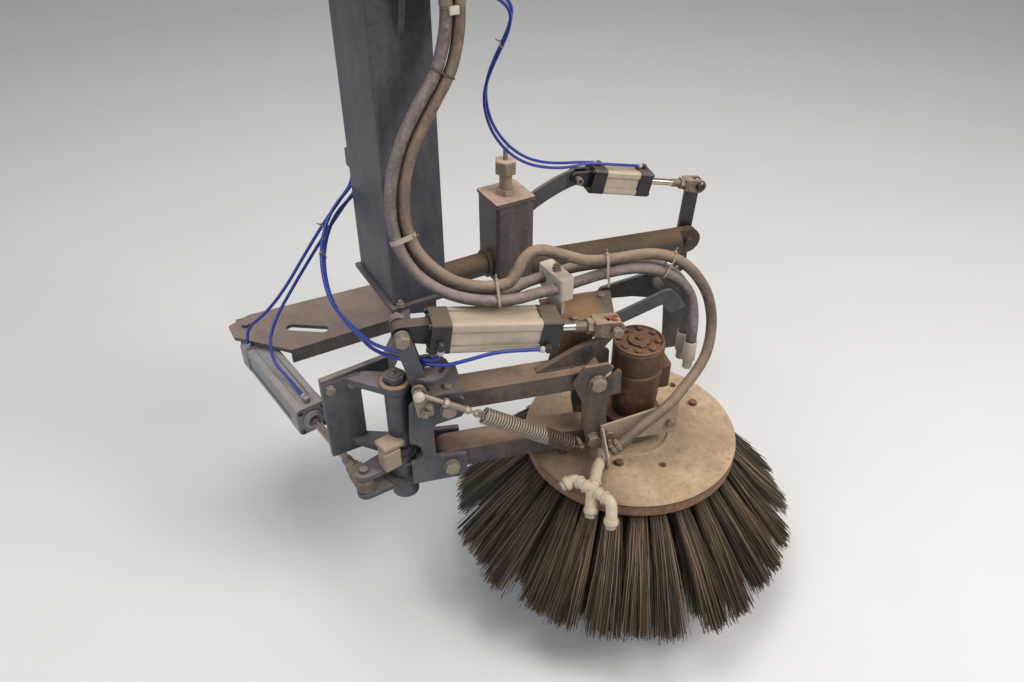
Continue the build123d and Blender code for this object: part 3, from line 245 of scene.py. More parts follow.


# past this plane the lift horn turns dark grey: painted shade of its far cheek
horn = {"from": arm(452, 0, 300), "way": armDir, "over": 0.02, "ragged": 0.02,
        "base": (0.034, 0.032, 0.031), "shade": (0.055, 0.049, 0.044), "dust": (0.125, 0.098, 0.078),
        "dustLight": (0.21, 0.165, 0.125)}
springDark = {"from": arm(307, -62, 112), "way": armDir, "over": 0.004, "ragged": 0.0,
              "base": (0.060, 0.042, 0.032), "shade": (0.095, 0.062, 0.044), "dust": (0.135, 0.090, 0.060),
              "dustLight": (0.16, 0.11, 0.075)}
plastic = {"rusting": -0.2, "wear": 0.0}
looks = {
    "framePaint": {"base": (0.033, 0.038, 0.052), "shade": (0.056, 0.060, 0.076),
                   "dust": (0.128, 0.112, 0.112), "dustLight": (0.30, 0.240, 0.200), "rusting": -0.09,
                   "film": 0.42, "streak": 0.38, "rough": 0.46},
    "shelfPaint": {"base": (0.045, 0.045, 0.052), "shade": (0.070, 0.064, 0.064),
                   "dust": (0.190, 0.142, 0.118), "dustLight": (0.330, 0.245, 0.200), "rusting": -0.06,
                   "film": 0.5, "streak": 0.4, "lying": 0.97, "rough": 0.5},
    "armPaint": {"base": (0.030, 0.029, 0.032), "shade": (0.054, 0.045, 0.041),
                 "dust": (0.205, 0.132, 0.090), "dustLight": (0.43, 0.290, 0.200), "rusting": -0.06,
                 "film": 0.34, "streak": 0.34, "lying": 0.97, "rough": 0.5},
    "hornPaint": {"base": (0.100, 0.062, 0.040), "shade": (0.090, 0.062, 0.045),
                  "dust": (0.27, 0.150, 0.078), "dustLight": (0.34, 0.200, 0.108), "rusting": -0.05,
                  "film": 0.5, "lying": 0.95, "rough": 0.6, "beyond": horn},
    "postPaint": {"base": (0.034, 0.034, 0.038), "shade": (0.060, 0.051, 0.049),
                  "dust": (0.215, 0.150, 0.120), "dustLight": (0.66, 0.460, 0.350), "rusting": -0.05,
                  "film": 0.34, "streak": 0.36, "lying": 1.0, "rough": 0.55},
    "spindlePaint": {"base": (0.27, 0.200, 0.145), "shade": (0.36, 0.270, 0.195),
                     "dust": (0.44, 0.315, 0.225), "dustLight": (0.60, 0.450, 0.335), "rusting": -0.08,
                     "film": 0.6, "lying": 0.9, "rough": 0.6},
    "nozzlePaint": {"base": (0.026, 0.020, 0.014), "shade": (0.045, 0.031, 0.020),
                    "dust": (0.088, 0.054, 0.030), "dustLight": (0.185, 0.115, 0.064), "rusting": -0.07,
                    "film": 0.5, "streak": 0.35, "lying": 0.8, "rough": 0.6},
    "bareSteel": {"base": (0.27, 0.225, 0.175), "shade": (0.175, 0.140, 0.105),
                  "dust": (0.29, 0.205, 0.140), "metal": 0.45, "rough": 0.42, "rusting": -0.02,
                  "lying": 0.6, "bare": (0.46, 0.41, 0.35)},
    "rustyIron": {"base": (0.046, 0.019, 0.011), "shade": (0.080, 0.031, 0.016),
                  "dust": (0.205, 0.098, 0.051), "dustLight": (0.36, 0.186, 0.100), "rusting": 0.0,
                  "film": 0.35, "lying": 0.62, "rough": 0.66, "patches": 16},
    "cylinderTube": {"base": (0.56, 0.48, 0.38), "shade": (0.46, 0.39, 0.30), "dust": (0.34, 0.245, 0.165),
                     "dustLight": (0.48, 0.37, 0.26), "rusting": -0.12, "film": 0.5, "lying": 0.45,
                     "rough": 0.36, "metal": 0.2, "bare": (0.62, 0.57, 0.49), "wear": 0.3, "grime": 1.0},
    "swingTube": {"base": (0.235, 0.245, 0.280), "shade": (0.180, 0.185, 0.215),
                  "dust": (0.29, 0.250, 0.230), "dustLight": (0.43, 0.370, 0.330), "rusting": -0.12,
                  "film": 0.6, "lying": 0.8, "rough": 0.45, "wear": 0.3},
    "cylinderCap": {"base": (0.008, 0.008, 0.008), "shade": (0.013, 0.012, 0.012),
                    "dust": (0.105, 0.075, 0.055), "dustLight": (0.27, 0.195, 0.140), "rusting": -0.14,
                    "film": 0.05, "streak": 0.08, "lying": 0.55, "rough": 0.38, "bare": (0.20, 0.17, 0.14),
                    "wear": 0.3},
    "springSteel": {"base": (0.44, 0.385, 0.315), "shade": (0.33, 0.275, 0.215),
                    "dust": (0.36, 0.265, 0.185), "dustLight": (0.44, 0.340, 0.250), "metal": 0.3,
                    "rough": 0.4, "rusting": -0.1, "lying": 0.35, "patches": 14, "beyond": springDark},
    "clampPlastic": {**plastic, "base": (0.60, 0.56, 0.49), "shade": (0.50, 0.45, 0.38),
                     "dust": (0.38, 0.29, 0.21), "film": 0.45, "lying": 0.3, "rough": 0.5},
    "sprayPlastic": {**plastic, "base": (0.64, 0.555, 0.405), "shade": (0.54, 0.455, 0.325),
                     "dust": (0.37, 0.265, 0.170), "film": 0.5, "streak": 0.3, "lying": 0.3, "rough": 0.42},
    "sprayTip": {**plastic, "base": (0.33, 0.300, 0.250), "shade": (0.22, 0.195, 0.155),
                 "dust": (0.46, 0.400, 0.310), "film": 0.5, "lying": 0.4, "rough": 0.22},
    "tieNylon": {**plastic, "base": (0.34, 0.27, 0.215), "shade": (0.42, 0.35, 0.28),
                 "dust": (0.24, 0.18, 0.13), "film": 0.5, "lying": 0.4, "rough": 0.5},
    "tieDark": {**plastic, "base": (0.085, 0.050, 0.038), "shade": (0.060, 0.038, 0.030),
                "dust": (0.17, 0.115, 0.080), "film": 0.4, "lying": 0.4, "rough": 0.6},
    "fittingGrey": {**plastic, "base": (0.50, 0.52, 0.56), "shade": (0.42, 0.42, 0.44),
                    "dust": (0.36, 0.29, 0.22), "film": 0.35, "lying": 0.3, "rough": 0.4},
    "redClip": {**plastic, "base": (0.48, 0.030, 0.022), "shade": (0.36, 0.035, 0.025),
                "dust": (0.30, 0.10, 0.07), "film": 0.3, "lying": 0.2, "rough": 0.45},
    "bracketPaint": {"base": (0.235, 0.190, 0.145), "shade": (0.32, 0.250, 0.185),
                     "dust": (0.50, 0.380, 0.260), "dustLight": (0.60, 0.460, 0.320), "rusting": -0.04,
                     "film": 0.7, "lying": 0.9, "rough": 0.6},
}
finishes = {name: weathered(name, look) for name, look in looks.items()}


# a rod is bright where it slides and dusty steel from its nut on; along is the way to the eye
def rodFinish(name, tail, along, brightTo, bright):
    paint, place = newFinish(name)
    fromTail = paint.vectors("SUBTRACT", place, tuple(tail / 1000))
    distance = paint.vectors("DOT_PRODUCT", fromTail, tuple(along))
    smear = paint.noise(place, 26, 6, 0.65)
    specks = paint.noise(place, 260, 4, 0.6)
    patches = paint.noise(place, 60, 6, 0.65)
    upward = paint.part(paint.facing(), "Z")
    dull = ((distance - brightTo / 1000) / 0.002).clamped()
    film = ((smear * 0.6 + specks * 0.4).above(0.54, 0.1) * 0.6 + dull).clamped()
    lying = (upward.above(0.2, 0.6) * (0.4 + patches * 0.8)).clamped()
    steel = paint.mixed(patches.above(0.42, 0.2), (0.115, 0.085, 0.060), (0.24, 0.175, 0.115))
    steel = paint.mixed(lying * 0.8, steel, (0.42, 0.31, 0.21))
    return paint.finished({"Base Color": paint.mixed(film, bright, steel), "Metallic": 0.95 - film * 0.75,
                           "Roughness": 0.16 + film * 0.42, "Normal": paint.bump(0.2, 0.0008, specks * film)})


# hose cover: faint winding marks along its length, grimy scuffs in long patches, dust on top, and undersides
# kept dark as painted shade
def hoseCover(name, look):
    paint, place = newFinish(name)
    route = paint.node("ShaderNodeUVMap", {"uv_map": "route"})
    around, along = paint.part(route, "X"), paint.part(route, "Y")
    upward = paint.part(paint.facing(), "Z")
    patches = paint.noise(place, 11, 6, 0.65)
    specks = paint.noise(place, 120, 6, 0.7)
    winding = paint.maths("SINE", (along / look["pitch"] + around) * 2 * math.pi)
    scuffs = paint.noise(paint.vector(around * 3, along * 14), 1.6, 5, 0.7)
    colour = paint.mixed(scuffs.above(0.45, 0.25) * look["scuff"], look["base"], look["dust"])
    # dust weighted to upward faces, leaving the undersides dark as painted shade
    dusty = ((upward * 0.62 + 0.30) * patches * 1.75 + (specks - 0.5) * 0.7).clamped() * look["lying"]
    colour = paint.mixed(dusty, colour, look["dust"])
    colour = paint.mixed(specks.above(0.60, 0.1) * 0.35, colour, look["mark"])
    relief = winding * look["ridge"] + specks * 0.6
    return paint.finished({"Base Color": colour, "Roughness": (look["rough"] + dusty * 0.35).clamped(),
                           "Normal": paint.bump(look["bump"], 0.0008, relief)})


hoseLooks = {
    "hoseRubber": {"base": (0.034, 0.029, 0.028), "dust": (0.310, 0.240, 0.210), "mark": (0.54, 0.43, 0.36),
                   "pitch": 0.012, "ridge": 0.35, "scuff": 0.45, "lying": 0.95, "bump": 0.5, "rough": 0.5},
    "waterHose": {"base": (0.042, 0.033, 0.027), "dust": (0.31, 0.215, 0.145), "mark": (0.50, 0.37, 0.26),
                  "pitch": 0.009, "ridge": 0.12, "scuff": 0.55, "lying": 0.95, "bump": 0.35, "rough": 0.48},
    "airTube": {"base": (0.010, 0.034, 0.30), "dust": (0.060, 0.085, 0.26), "mark": (0.20, 0.18, 0.20),
                "pitch": 0.05, "ridge": 0.0, "scuff": 0.3, "lying": 0.35, "bump": 0.05, "rough": 0.25},
}
finishes.update({name: hoseCover(name, look) for name, look in hoseLooks.items()})
print("finishes ready")


# floor and backdrop in one, then the lamps
floorSetup = {"size": 30, "height": -1.395, "tones": ((0.66, 0.65, 0.63), (0.70, 0.69, 0.67))}
lamps = {
    "keyLamp": {"place": (2.2, -2.7, 2.0), "size": 1.8, "watts": 118, "colour": (1.0, 0.955, 0.89)},
    "topLamp": {"place": (0.3, 0.5, 3.2), "size": 2.6, "watts": 104, "colour": (1.0, 0.985, 0.96)},
    "coolLamp": {"place": (-3.0, -1.6, 1.4), "size": 2.4, "watts": 46, "colour": (0.84, 0.91, 1.0)},
}
room = {"aim": (0.05, -0.2, -0.75), "colour": (0.82, 0.85, 0.90, 1), "strength": 0.40}


def newMesh(name, verts, faces, finish, smooth=True, uvs=None):
    mesh = bpy.data.meshes.new(name)
    mesh.from_pydata([tuple(v) for v in verts], [], faces)
    if uvs:
        layer = mesh.uv_layers.new(name="route")
        for loop in mesh.loops:
            layer.data[loop.index].uv = uvs[loop.index]
    mesh.materials.append(finish)
    mesh.polygons.foreach_set("use_smooth", [smooth] * len(mesh.polygons))
    return mesh


def newObject(name, data):
    made = bpy.data.objects.new(name, data)
    bpy.context.collection.objects.link(made)
    return made


def paleFloor(size, height, tones):
    paint, place = newFinish("paleFloor")
    colour = paint.mixed(paint.noise(place, 3, 4), *tones)
    finish = paint.finished({"Base Color": colour, "Roughness": 0.8})
    corners = [(x * size, y * size, height) for x, y in ((-1, -1), (1, -1), (1, 1), (-1, 1))]
    newObject("paleFloor", newMesh("paleFloor", corners, [(0, 1, 2, 3)], finish, False))


paleFloor(**floorSetup)
for name, setup in lamps.items():
    light = bpy.data.lights.new(name, "AREA")
    light.size, light.energy, light.color = setup["size"], setup["watts"], setup["colour"]
    lamp = newObject(name, light)
    lamp.location = setup["place"]
    lamp.rotation_euler = (Vector(room["aim"]) - lamp.location).to_track_quat("-Z", "Y").to_euler()
world = bpy.data.worlds.new("paleRoom")
world.use_nodes = True
background = world.node_tree.nodes["Background"].inputs
background["Color"].default_value = room["colour"]
background["Strength"].default_value = room["strength"]
bpy.context.scene.world = world


def addPiece(name, verts, faces, finish, smooth=True, uvs=None):
    return newObject(name, newMesh(name, verts, faces, finish, smooth, uvs))


def meshFrom(piece):
    bpy.context.view_layer.update()
    return bpy.data.meshes.new_from_object(piece.evaluated_get(bpy.context.evaluated_depsgraph_get()))


# faces of a skin over rings with the same number of corners, with or without its two ends
def skin(rings, sides, capped=True):
    faces = []
    for ring in range(rings - 1):
        here, there = ring * sides, (ring + 1) * sides
        for corner in range(sides):
            after = (corner + 1) % sides
            faces.append((here + corner, here + after, there + after, there + corner))
    last = (rings - 1) * sides
    return faces + [tuple(range(sides - 1, -1, -1)), tuple(range(last, last + sides))] if capped else faces


def anglesOf(sides):
    return [2 * math.pi * corner / sides for corner in range(sides)]


def around(first, second, angle):
    return first * math.cos(angle) + second * math.sin(angle)


# hoses and air tubes: one smooth spline through each route, then a tube on it
def splineThrough(name, points):
    curve = bpy.data.curves.new(name, "CURVE")
    curve.dimensions = "3D"
    curve.resolution_u = 10
    spline = curve.splines.new("NURBS")
    spline.points.add(len(points) - 1)
    for knot, point in zip(spline.points, points):
        knot.co = (*(point / 1000), 1)
    spline.order_u = 3
    spline.use_endpoint_u = True
    piece = newObject(name, curve)
    line = [v.co.copy() for v in meshFrom(piece).vertices]
    bpy.data.objects.remove(piece)
    start = points[0] / 1000
    if (line[0] - start).length > (line[-1] - start).length:
        line.reverse()
    return line


def tubeOn(name, line, radius, sides, finish):
    verts, travels, uvs = [], [], []
    heading = (line[1] - line[0]).normalized()
    side = heading.orthogonal().normalized()
    travelled = 0
    for index, point in enumerate(line):
        ahead = (line[min(index + 1, len(line) - 1)] - line[max(index - 1, 0)]).normalized()
        side = heading.rotation_difference(ahead) @ side
        heading = ahead
        other = heading.cross(side).normalized()
        travelled += (point - line[index - 1]).length if index else 0
        travels.append(travelled)
        verts += [point + around(side, other, angle) * radius for angle in anglesOf(sides)]
    for near, far in zip(travels, travels[1:]):
        for turn in range(sides):
            low, high = turn / sides, (turn + 1) / sides
            uvs += [(low, near), (high, near), (high, far), (low, far)]
    uvs += [(0, 0)] * (2 * sides)
    return addPiece(name, verts, skin(len(line), sides), finish, True, uvs)


def joined(*stretches):  # the ends of neighbouring stretches meet halfway
    routes = [list(points) for points in stretches]
    for here, there in zip(routes, routes[1:]):
        middle = (here[-1] + there[0]) / 2
        here.append(middle)
        there.insert(0, middle)
    return routes


clamp = {"s": 365.7, "y": 83, "middle": 413, "top": 439, "holeGap": 54, "yaw": 1}


def inClamp(side, along):
    row, axis = turned(clamp["yaw"] + 90), turned(clamp["yaw"])
    return arm(clamp["s"], clamp["y"], clamp["middle"]) + row * side * clamp["holeGap"] / 2 + axis * along


hoseSizes = {"radius": 12, "sides": 20, "airRadius": 4, "airSides": 12, "topZ": -46, "elbowS": 670,
             "airStart": -458, "plugZ": -23}
topZ, elbowS, airStart, plugZ = (hoseSizes[name] for name in ("topZ", "elbowS", "airStart", "plugZ"))
waterRoute = joined(
    [truck(93, -170, topZ), truck(93, -170, -74), truck(84, -173, -120), truck(66, -178, -168),
     truck(20, -185, -225), truck(-29, -193, -289), truck(-59, -203, -363), truck(-68, -218, -443),
     truck(-52, -246, -502), arm(136, 64, 460), arm(190, 31, 457)],
    [arm(248, 25, 458), arm(264, 32, 475), arm(277, 42, 493), arm(296, 52, 508), arm(318, 58, 510),
     arm(342, 63, 500), arm(369, 66, 486), arm(399, 68, 472), arm(430, 68, 459)],
    [arm(496, 64, 459), arm(532, 62, 463), arm(566, 61, 462), arm(599, 59, 454), arm(630, 57, 439),
     arm(658, 55, 416), arm(684, 53, 384), arm(706, 49, 347), arm(717, 43, 310), arm(721, 34, 275),
     arm(715, 19, 239), arm(700, 0, 209), arm(672, -21, 188), arm(637, -42, 167), arm(597, -64, 143),
     arm(554, -69, 113), arm(514, -74, 88), arm(479, -79, 56), arm(460, -77, 41)])
outerRoute = joined(
    [truck(66, -170, topZ), truck(66, -170, -74), truck(54, -173, -119), truck(35, -178, -167),
     truck(-12, -185, -219), truck(-58, -193, -286), truck(-87, -203, -358), truck(-97, -218, -440),
     truck(-81, -246, -515), arm(108, 57, 445), arm(178, 14, 436)],
    [arm(262, 12, 428), arm(308, 38, 419), inClamp(-1, -30)],
    [inClamp(-1, 30), arm(438, 67, 420), arm(472, 63, 428), arm(505, 61, 432), arm(539, 60, 431),
     arm(572, 58, 424), arm(604, 56, 411), arm(632, 54, 392), arm(655, 52, 368), arm(670, 49, 339),
     arm(673, 37, 307), arm(elbowS, 24, 274), arm(elbowS, 24, 240)])
innerRoute = joined(
    [truck(79.5, -146, topZ), truck(79.5, -146, -74), truck(69, -149, -119), truck(49, -153, -167),
     truck(3, -160, -222), truck(-44, -168, -288), truck(-73, -178, -361), truck(-83, -193, -441),
     truck(-67, -221, -509), arm(129, 85, 440), arm(190, 46, 432)],
    [arm(260, 48, 428), arm(290, 78, 420), inClamp(1, -30)],
    [inClamp(1, 30), arm(424, 117, 418), arm(460, 104, 427), arm(497, 93, 432), arm(535, 88, 431),
     arm(572, 87, 424), arm(604, 86, 411), arm(632, 85, 392), arm(655, 83, 368), arm(670, 80, 339),
     arm(674, 71, 307), arm(elbowS, 62, 274), arm(elbowS, 62, 240)])
bendsOf = {  # bodies at the two ends, and two points on the stretch, one near each end
    "drop": ("chassis_side", "swing_frame", truck(10, -180, -200), arm(180, 30, 440)),
    "cross": ("swing_frame", "upper_link", arm(222, 28, 440), arm(350, 60, 430)),
    "feed": ("upper_link", "carrier", arm(500, 60, 440), arm(690, 30, 260)),
}
lines = {}


def layHose(node, points, radius, sides, finish, bends):
    line = splineThrough(node + "_line", points)
    lines[node] = line
    piece = tubeOn(node + "_hose", line, radius / 1000, sides, finishes[finish])
    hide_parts(node)
    bodyA, bodyB, start, end = bends
    tuple(start / 1000)
    tuple(end / 1000)
    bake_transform(piece)


covers = {"water": "waterHose", "outer": "hoseRubber", "inner": "hoseRubber"}
for hose, route in (("water", waterRoute), ("outer", outerRoute), ("inner", innerRoute)):
    for stretch, points in zip(bendsOf, route):
        layHose(f"{hose}_{stretch}", points, hoseSizes["radius"], hoseSizes["sides"], covers[hose],
                bendsOf[stretch])

cylinders = {
    "swing": {"tail": at(-335, 279, 45), "eye": at(-256, -341, 45), "pin": up, "start": 40, "length": 330,
              "cap": "swingTube", "rod": "dusty"},
    "lift": {"tail": arm(20, 0, 402), "eye": arm(470, 0, 335), "pin": armIn, "start": 56, "length": 268,
             "cap": "cylinderCap", "rod": "bright"},
    "nozzle": {"tail": nozzle(205, 0, 320), "eye": nozzle(596, 0, 238), "pin": nozzleIn, "start": 40,
               "length": 185, "cap": "cylinderCap", "rod": "dusty"},
}
# where the tubes enter the cylinders: place along it, side, shift on that side, and the way of an elbow
airFittings = {
    "swing": [(73.5, "pin", 26, None), (350, "pin", 0, "back")],
    "lift": [(76, "outboard", -10, "down"), (300, "outboard", -24, "back")],
    "nozzle": [(60, "top", 0, "back"), (205, "top", 0, "back")],
}
fitting = {"capHalf": 37.5, "straight": 12, "elbowHigh": 6.5, "elbowLong": 16}
ports = {}
for name, cylinder in cylinders.items():
    reach = cylinder["eye"] - cylinder["tail"]
    along = reach.normalized()
    top = along.cross(cylinder["pin"])
    top = -top if top.z < 0 else top
    cylinder.update(along=along, top=top, reach=reach.length, front=cylinder["start"] + cylinder["length"])
    ways = {"pin": cylinder["pin"], "outboard": -cylinder["pin"], "top": top}
    ports[name] = []
    for place, side, shift, elbow in airFittings[name]:
        outward = ways[side]
        foot = cylinder["tail"] + along * place + outward * fitting["capHalf"] + top * shift
        if elbow:
            stub = -along if elbow == "back" else -top
            ports[name].append((foot + outward * fitting["elbowHigh"] + stub * fitting["elbowLong"], stub))
        else:
            ports[name].append((foot + outward * fitting["straight"], outward))


def into(port, run=34):
    end, way = port
    return [end + way * run, end]


liftRear = joined(
    [truck(-50, 113, airStart), truck(-50, 113, -484), truck(-72, 114, -508), truck(-114, 96, -530),
     truck(-150, 64, -556), truck(-179, 21, -588), truck(-197, -32, -619), truck(-206, -90, -643),
     truck(-203, -150, -653), truck(-191, -208, -657), arm(-36, 52, 343), arm(14, 12, 342)],
    into(ports["lift"][0], 24))
liftFront = joined(
    [truck(-30, 113, airStart), truck(-30, 113, -500), truck(-66, 115, -528), truck(-108, 100, -548),
     truck(-144, 68, -573), truck(-173, 26, -604), truck(-191, -28, -635), truck(-199, -86, -659),
     truck(-197, -146, -669), truck(-186, -202, -674), arm(-36, 56, 326), arm(8, 14, 325)],
    [arm(96, -40, 329), arm(142, -50, 343), arm(196, -49, 351), *into(ports["lift"][1], 50)])
swingBend = ("chassis_side", "swing_cylinder", truck(-200, 140, -680), truck(-330, 150, -880))
dropBend = ("chassis_side", "swing_frame", truck(-190, 0, -600), arm(14, 14, 335))
liftBend = ("swing_frame", "lift_cylinder", arm(40, -10, 335), arm(110, -46, 335))
nozzleBend = ("chassis_side", "nozzle_cylinder", truck(450, 180, -580), nozzle(250, 0, 352))
airTubes = {
    "swing_tube_rear": ([
        truck(-50, 125, airStart), truck(-50, 125, -492), truck(-88, 130, -536), truck(-136, 134, -590),
        truck(-190, 138, -660), truck(-247, 148, -742), truck(-300, 172, -812),
        *into(ports["swing"][0], 45)], swingBend),
    "swing_tube_front": ([
        truck(-30, 125, airStart), truck(-30, 125, -500), truck(-70, 140, -550), truck(-120, 147, -612),
        truck(-174, 152, -680), truck(-228, 154, -750), truck(-276, 151, -810), truck(-312, 126, -856),
        truck(-320, 82, -892), truck(-306, 34, -906), *into(ports["swing"][1])], swingBend),
    "lift_tube_rear_drop": (liftRear[0], dropBend),
    "lift_tube_front_drop": (liftFront[0], dropBend),
    "lift_tube_rear": (liftRear[1], liftBend),
    "lift_tube_front": (liftFront[1], liftBend),
    "nozzle_tube_rear": ([
        truck(106, 44, plugZ), truck(150, 44, plugZ), truck(207, 49, -50), truck(270, 55, -90),
        truck(335, 62, -132), truck(338, 76, -180), truck(326, 90, -222), truck(312, 105, -264),
        truck(300, 117, -306), truck(298, 128, -350), truck(311, 141, -405), truck(338, 155, -461),
        truck(385, 170, -522), truck(446, 185, -574), truck(515, 199, -609), truck(586, 209, -630),
        *into(ports["nozzle"][0])], nozzleBend),
    "nozzle_tube_front": ([
        truck(106, 26, plugZ), truck(150, 26, plugZ), truck(203, 33, -56), truck(266, 41, -98),
        truck(325, 48, -142), truck(327, 62, -190), truck(314, 76, -232), truck(300, 91, -274),
        truck(288, 103, -316), truck(286, 114, -360), truck(300, 127, -415), truck(328, 141, -471),
        truck(376, 156, -532), truck(438, 170, -582), truck(508, 182, -615), truck(580, 187, -634),
        nozzle(232, -20, 366), nozzle(300, -22, 352), *into(ports["nozzle"][1])], nozzleBend),
}
for node, (points, bends) in airTubes.items():
    layHose(node, points, hoseSizes["airRadius"], hoseSizes["airSides"], "airTube", bends)
print("hoses and air tubes laid")


# finishes of the CAD nodes
paintedNodes = {
    "framePaint": ("chassis_hanger", "hinge_bracket", "drop_bracket", "cylinder_bar", "swing_frame",
                   "cylinder_stand"),
    "shelfPaint": ("cylinder_shelf",),
    "armPaint": ("upper_link", "lift_crank", "lower_link", "broom_carrier", "motor_plate"),
    "hornPaint": ("lift_horn",),
    "postPaint": ("nozzle_post",),
    "spindlePaint": ("post_spindle",),
    "nozzlePaint": ("cross_tube", "nozzle_arm"),
    "bareSteel": ("spring_eyebolt", "broom_hub", "hose_bulkhead"),
    "rustyIron": ("hydraulic_motor",),
    "bracketPaint": ("spray_bracket",),
    "broomBoard": ("broom_disc",),
    "swingTube": ("swing_barrel", "swing_caps"),
    "cylinderTube": ("lift_barrel", "nozzle_barrel"),
    "cylinderCap": ("lift_caps", "nozzle_caps", "nozzle_lever", "tube_blocks"),
    "clampPlastic": ("hose_clamp", "motor_elbows"),
    "sprayPlastic": ("spray_pipe",),
}
rodTones = {"bright": (0.64, 0.63, 0.61), "dusty": (0.50, 0.40, 0.33), "thread": 66}
for name, cylinder in cylinders.items():
    paintedNodes[name + "Rod"] = (name + "_rod",)
    finishes[name + "Rod"] = rodFinish(name + "Rod", cylinder["tail"], cylinder["along"],
                                       cylinder["reach"] - rodTones["thread"], rodTones[cylinder["rod"]])


# the broom board: dusty top, a ring round the hub, darker red rim, with painted shadow on the side towards
# the arm and a painted shade line under the top's edge
def boardFinish(name, centre):
    paint, place = newFinish(name)
    fromHub = paint.vectors("SUBTRACT", place, tuple(centre / 1000))
    radius = paint.vectors("LENGTH", paint.vectors("MULTIPLY", fromHub, (1, 1, 0)))
    patches = paint.noise(place, 7, 7, 0.62)
    specks = paint.noise(place, 60, 8, 0.7)
    grain = paint.noise(place, 380, 4, 0.6)
    swirl = paint.maths("SINE", radius * 420 + patches * 5)
    colour = paint.mixed(patches.above(0.36, 0.28), (0.37, 0.250, 0.152), (0.53, 0.385, 0.250))
    # painted shadow: the board darkens on the side towards the arm, where the arm's shade falls
    armShadowSide = paint.vectors("DOT_PRODUCT", fromHub, tuple(-armDir - armIn * 0.45))
    marks = [  # where each mark shows, and its tone
        (specks.above(0.48, 0.16) * 0.55, (0.26, 0.165, 0.100)),
        (swirl.above(0.2, 0.8) * 0.06, (0.20, 0.125, 0.085)),
        (paint.noise(place, 3.2, 5, 0.7).above(0.47, 0.18) * 0.6, (0.19, 0.120, 0.080)),
        (paint.noise(place, 150, 3, 0.6).above(0.66, 0.03) * 0.7, (0.060, 0.038, 0.026)),
        (paint.noise(place, 95, 3, 0.6).above(0.69, 0.02) * 0.8, (0.66, 0.520, 0.370)),
        ((armShadowSide + (patches - 0.5) * 0.16).above(0.130, 0.11) * 0.72, (0.115, 0.074, 0.053)),
    ]
    for mask, markTone in marks:
        colour = paint.mixed(mask, colour, markTone)
    height = paint.part(place, "Z") + 1.0
    rim = (radius.above(0.2475, 0.001) * (0 - height).above(0.004, 0.001)).clamped()
    rimTone = paint.mixed(specks.above(0.42, 0.2), (0.150, 0.072, 0.040), (0.25, 0.140, 0.085))
    colour = paint.mixed(rim, colour, rimTone)
    # painted shade line just under the top's edge, in the gap above the rim
    shadedGap = rim * (0 - height).above(0.0035, 0.001) * (height + 0.0075).above(0.0, 0.001)
    colour = paint.mixed(shadedGap.clamped() * 0.9, colour, (0.018, 0.011, 0.008))
    normal = paint.bump(0.4, 0.0014, specks + grain * 0.3 + swirl * 0.12, Normal=paint.softEdge(0.003))
    return paint.finished({"Base Color": colour, "Roughness": 0.78 + (grain - 0.5) * 0.2, "Normal": normal})


broomCentre = overBroom(0)
finishes["broomBoard"] = boardFinish("broomBoard", broomCentre)
for finish, nodes in paintedNodes.items():
    for node in nodes:
        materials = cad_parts[node].data.materials
        materials.clear()
        materials.append(finishes[finish])
print("CAD nodes painted")


# geometry trees: a new one gets its named inputs, and the last nodes make real faces with their finish
def newTree(name, inputs):
    tree = bpy.data.node_groups.new(name, "GeometryNodeTree")
    tree.is_modifier = True
    for label, kind in {"Geometry": "Geometry", **inputs}.items():
        tree.interface.new_socket(label, in_out="INPUT", socket_type=f"NodeSocket{kind}")
    tree.interface.new_socket("Geometry", in_out="OUTPUT", socket_type="NodeSocketGeometry")
    rows = board(tree)
    given = tree.nodes.new("NodeGroupInput")
    return rows, {socket.name: wire(rows, socket) for socket in given.outputs}


def endTree(rows, shape, finish):
    real = rows.node("GeometryNodeRealizeInstances", {}, {"Geometry": shape})
    painted = rows.node("GeometryNodeSetMaterial", {}, {"Geometry": real, "Material": finish})
    output = rows.tree.nodes.new("NodeGroupOutput")
    rows.tree.links.new(painted.socket, output.inputs[0])
    return rows.tree


def withTree(piece, tree, values):
    modifier = piece.modifiers.new("rows", "NODES")
    modifier.node_group = tree
    for socket in tree.interface.items_tree:
        if socket.in_out == "INPUT" and socket.name in values:
            modifier[socket.identifier] = values[socket.name]
    mesh = meshFrom(piece)
    bpy.data.objects.remove(piece)
    return mesh


def joinedMesh(name, meshes, finish):
    verts, faces, smooths, shades = [], [], [], []
    for mesh in meshes:
        offset = len(verts)
        verts += [tuple(v.co) for v in mesh.vertices]
        faces += [tuple(offset + i for i in polygon.vertices) for polygon in mesh.polygons]
        smooths += [polygon.use_smooth for polygon in mesh.polygons]
        if "shade" in mesh.attributes:
            shades += [value.value for value in mesh.attributes["shade"].data]
    whole = newMesh(name, verts, faces, finish)
    whole.polygons.foreach_set("use_smooth", smooths)
    if shades:
        whole.attributes.new("shade", "FLOAT", "POINT").data.foreach_set("value", shades)
    return whole


def ridingPiece(name, mesh, body):
    piece = newObject(name, mesh)
    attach(piece, body)
    return piece


# bristles, made by geometry nodes: every strand leans from the board out to its tip
def bristleFinish(name):
    paint, place = newFinish(name)
    shade = paint.node("ShaderNodeAttribute", {"attribute_name": "shade"}, out="Fac")
    dust = paint.noise(place, 30, 4, 0.6)
    colour = paint.mixed(shade * shade, (0.017, 0.012, 0.009), (0.305, 0.212, 0.128))
    rootDust = ((paint.part(place, "Z") + 1.11) / 0.08).clamped()
    dusty = (rootDust * 0.20 + dust.above(0.55, 0.2) * 0.16).clamped()
    colour = paint.mixed(dusty, colour, (0.13, 0.080, 0.055))
    return paint.finished({"Base Color": colour, "Roughness": 0.55 + dust * 0.3})


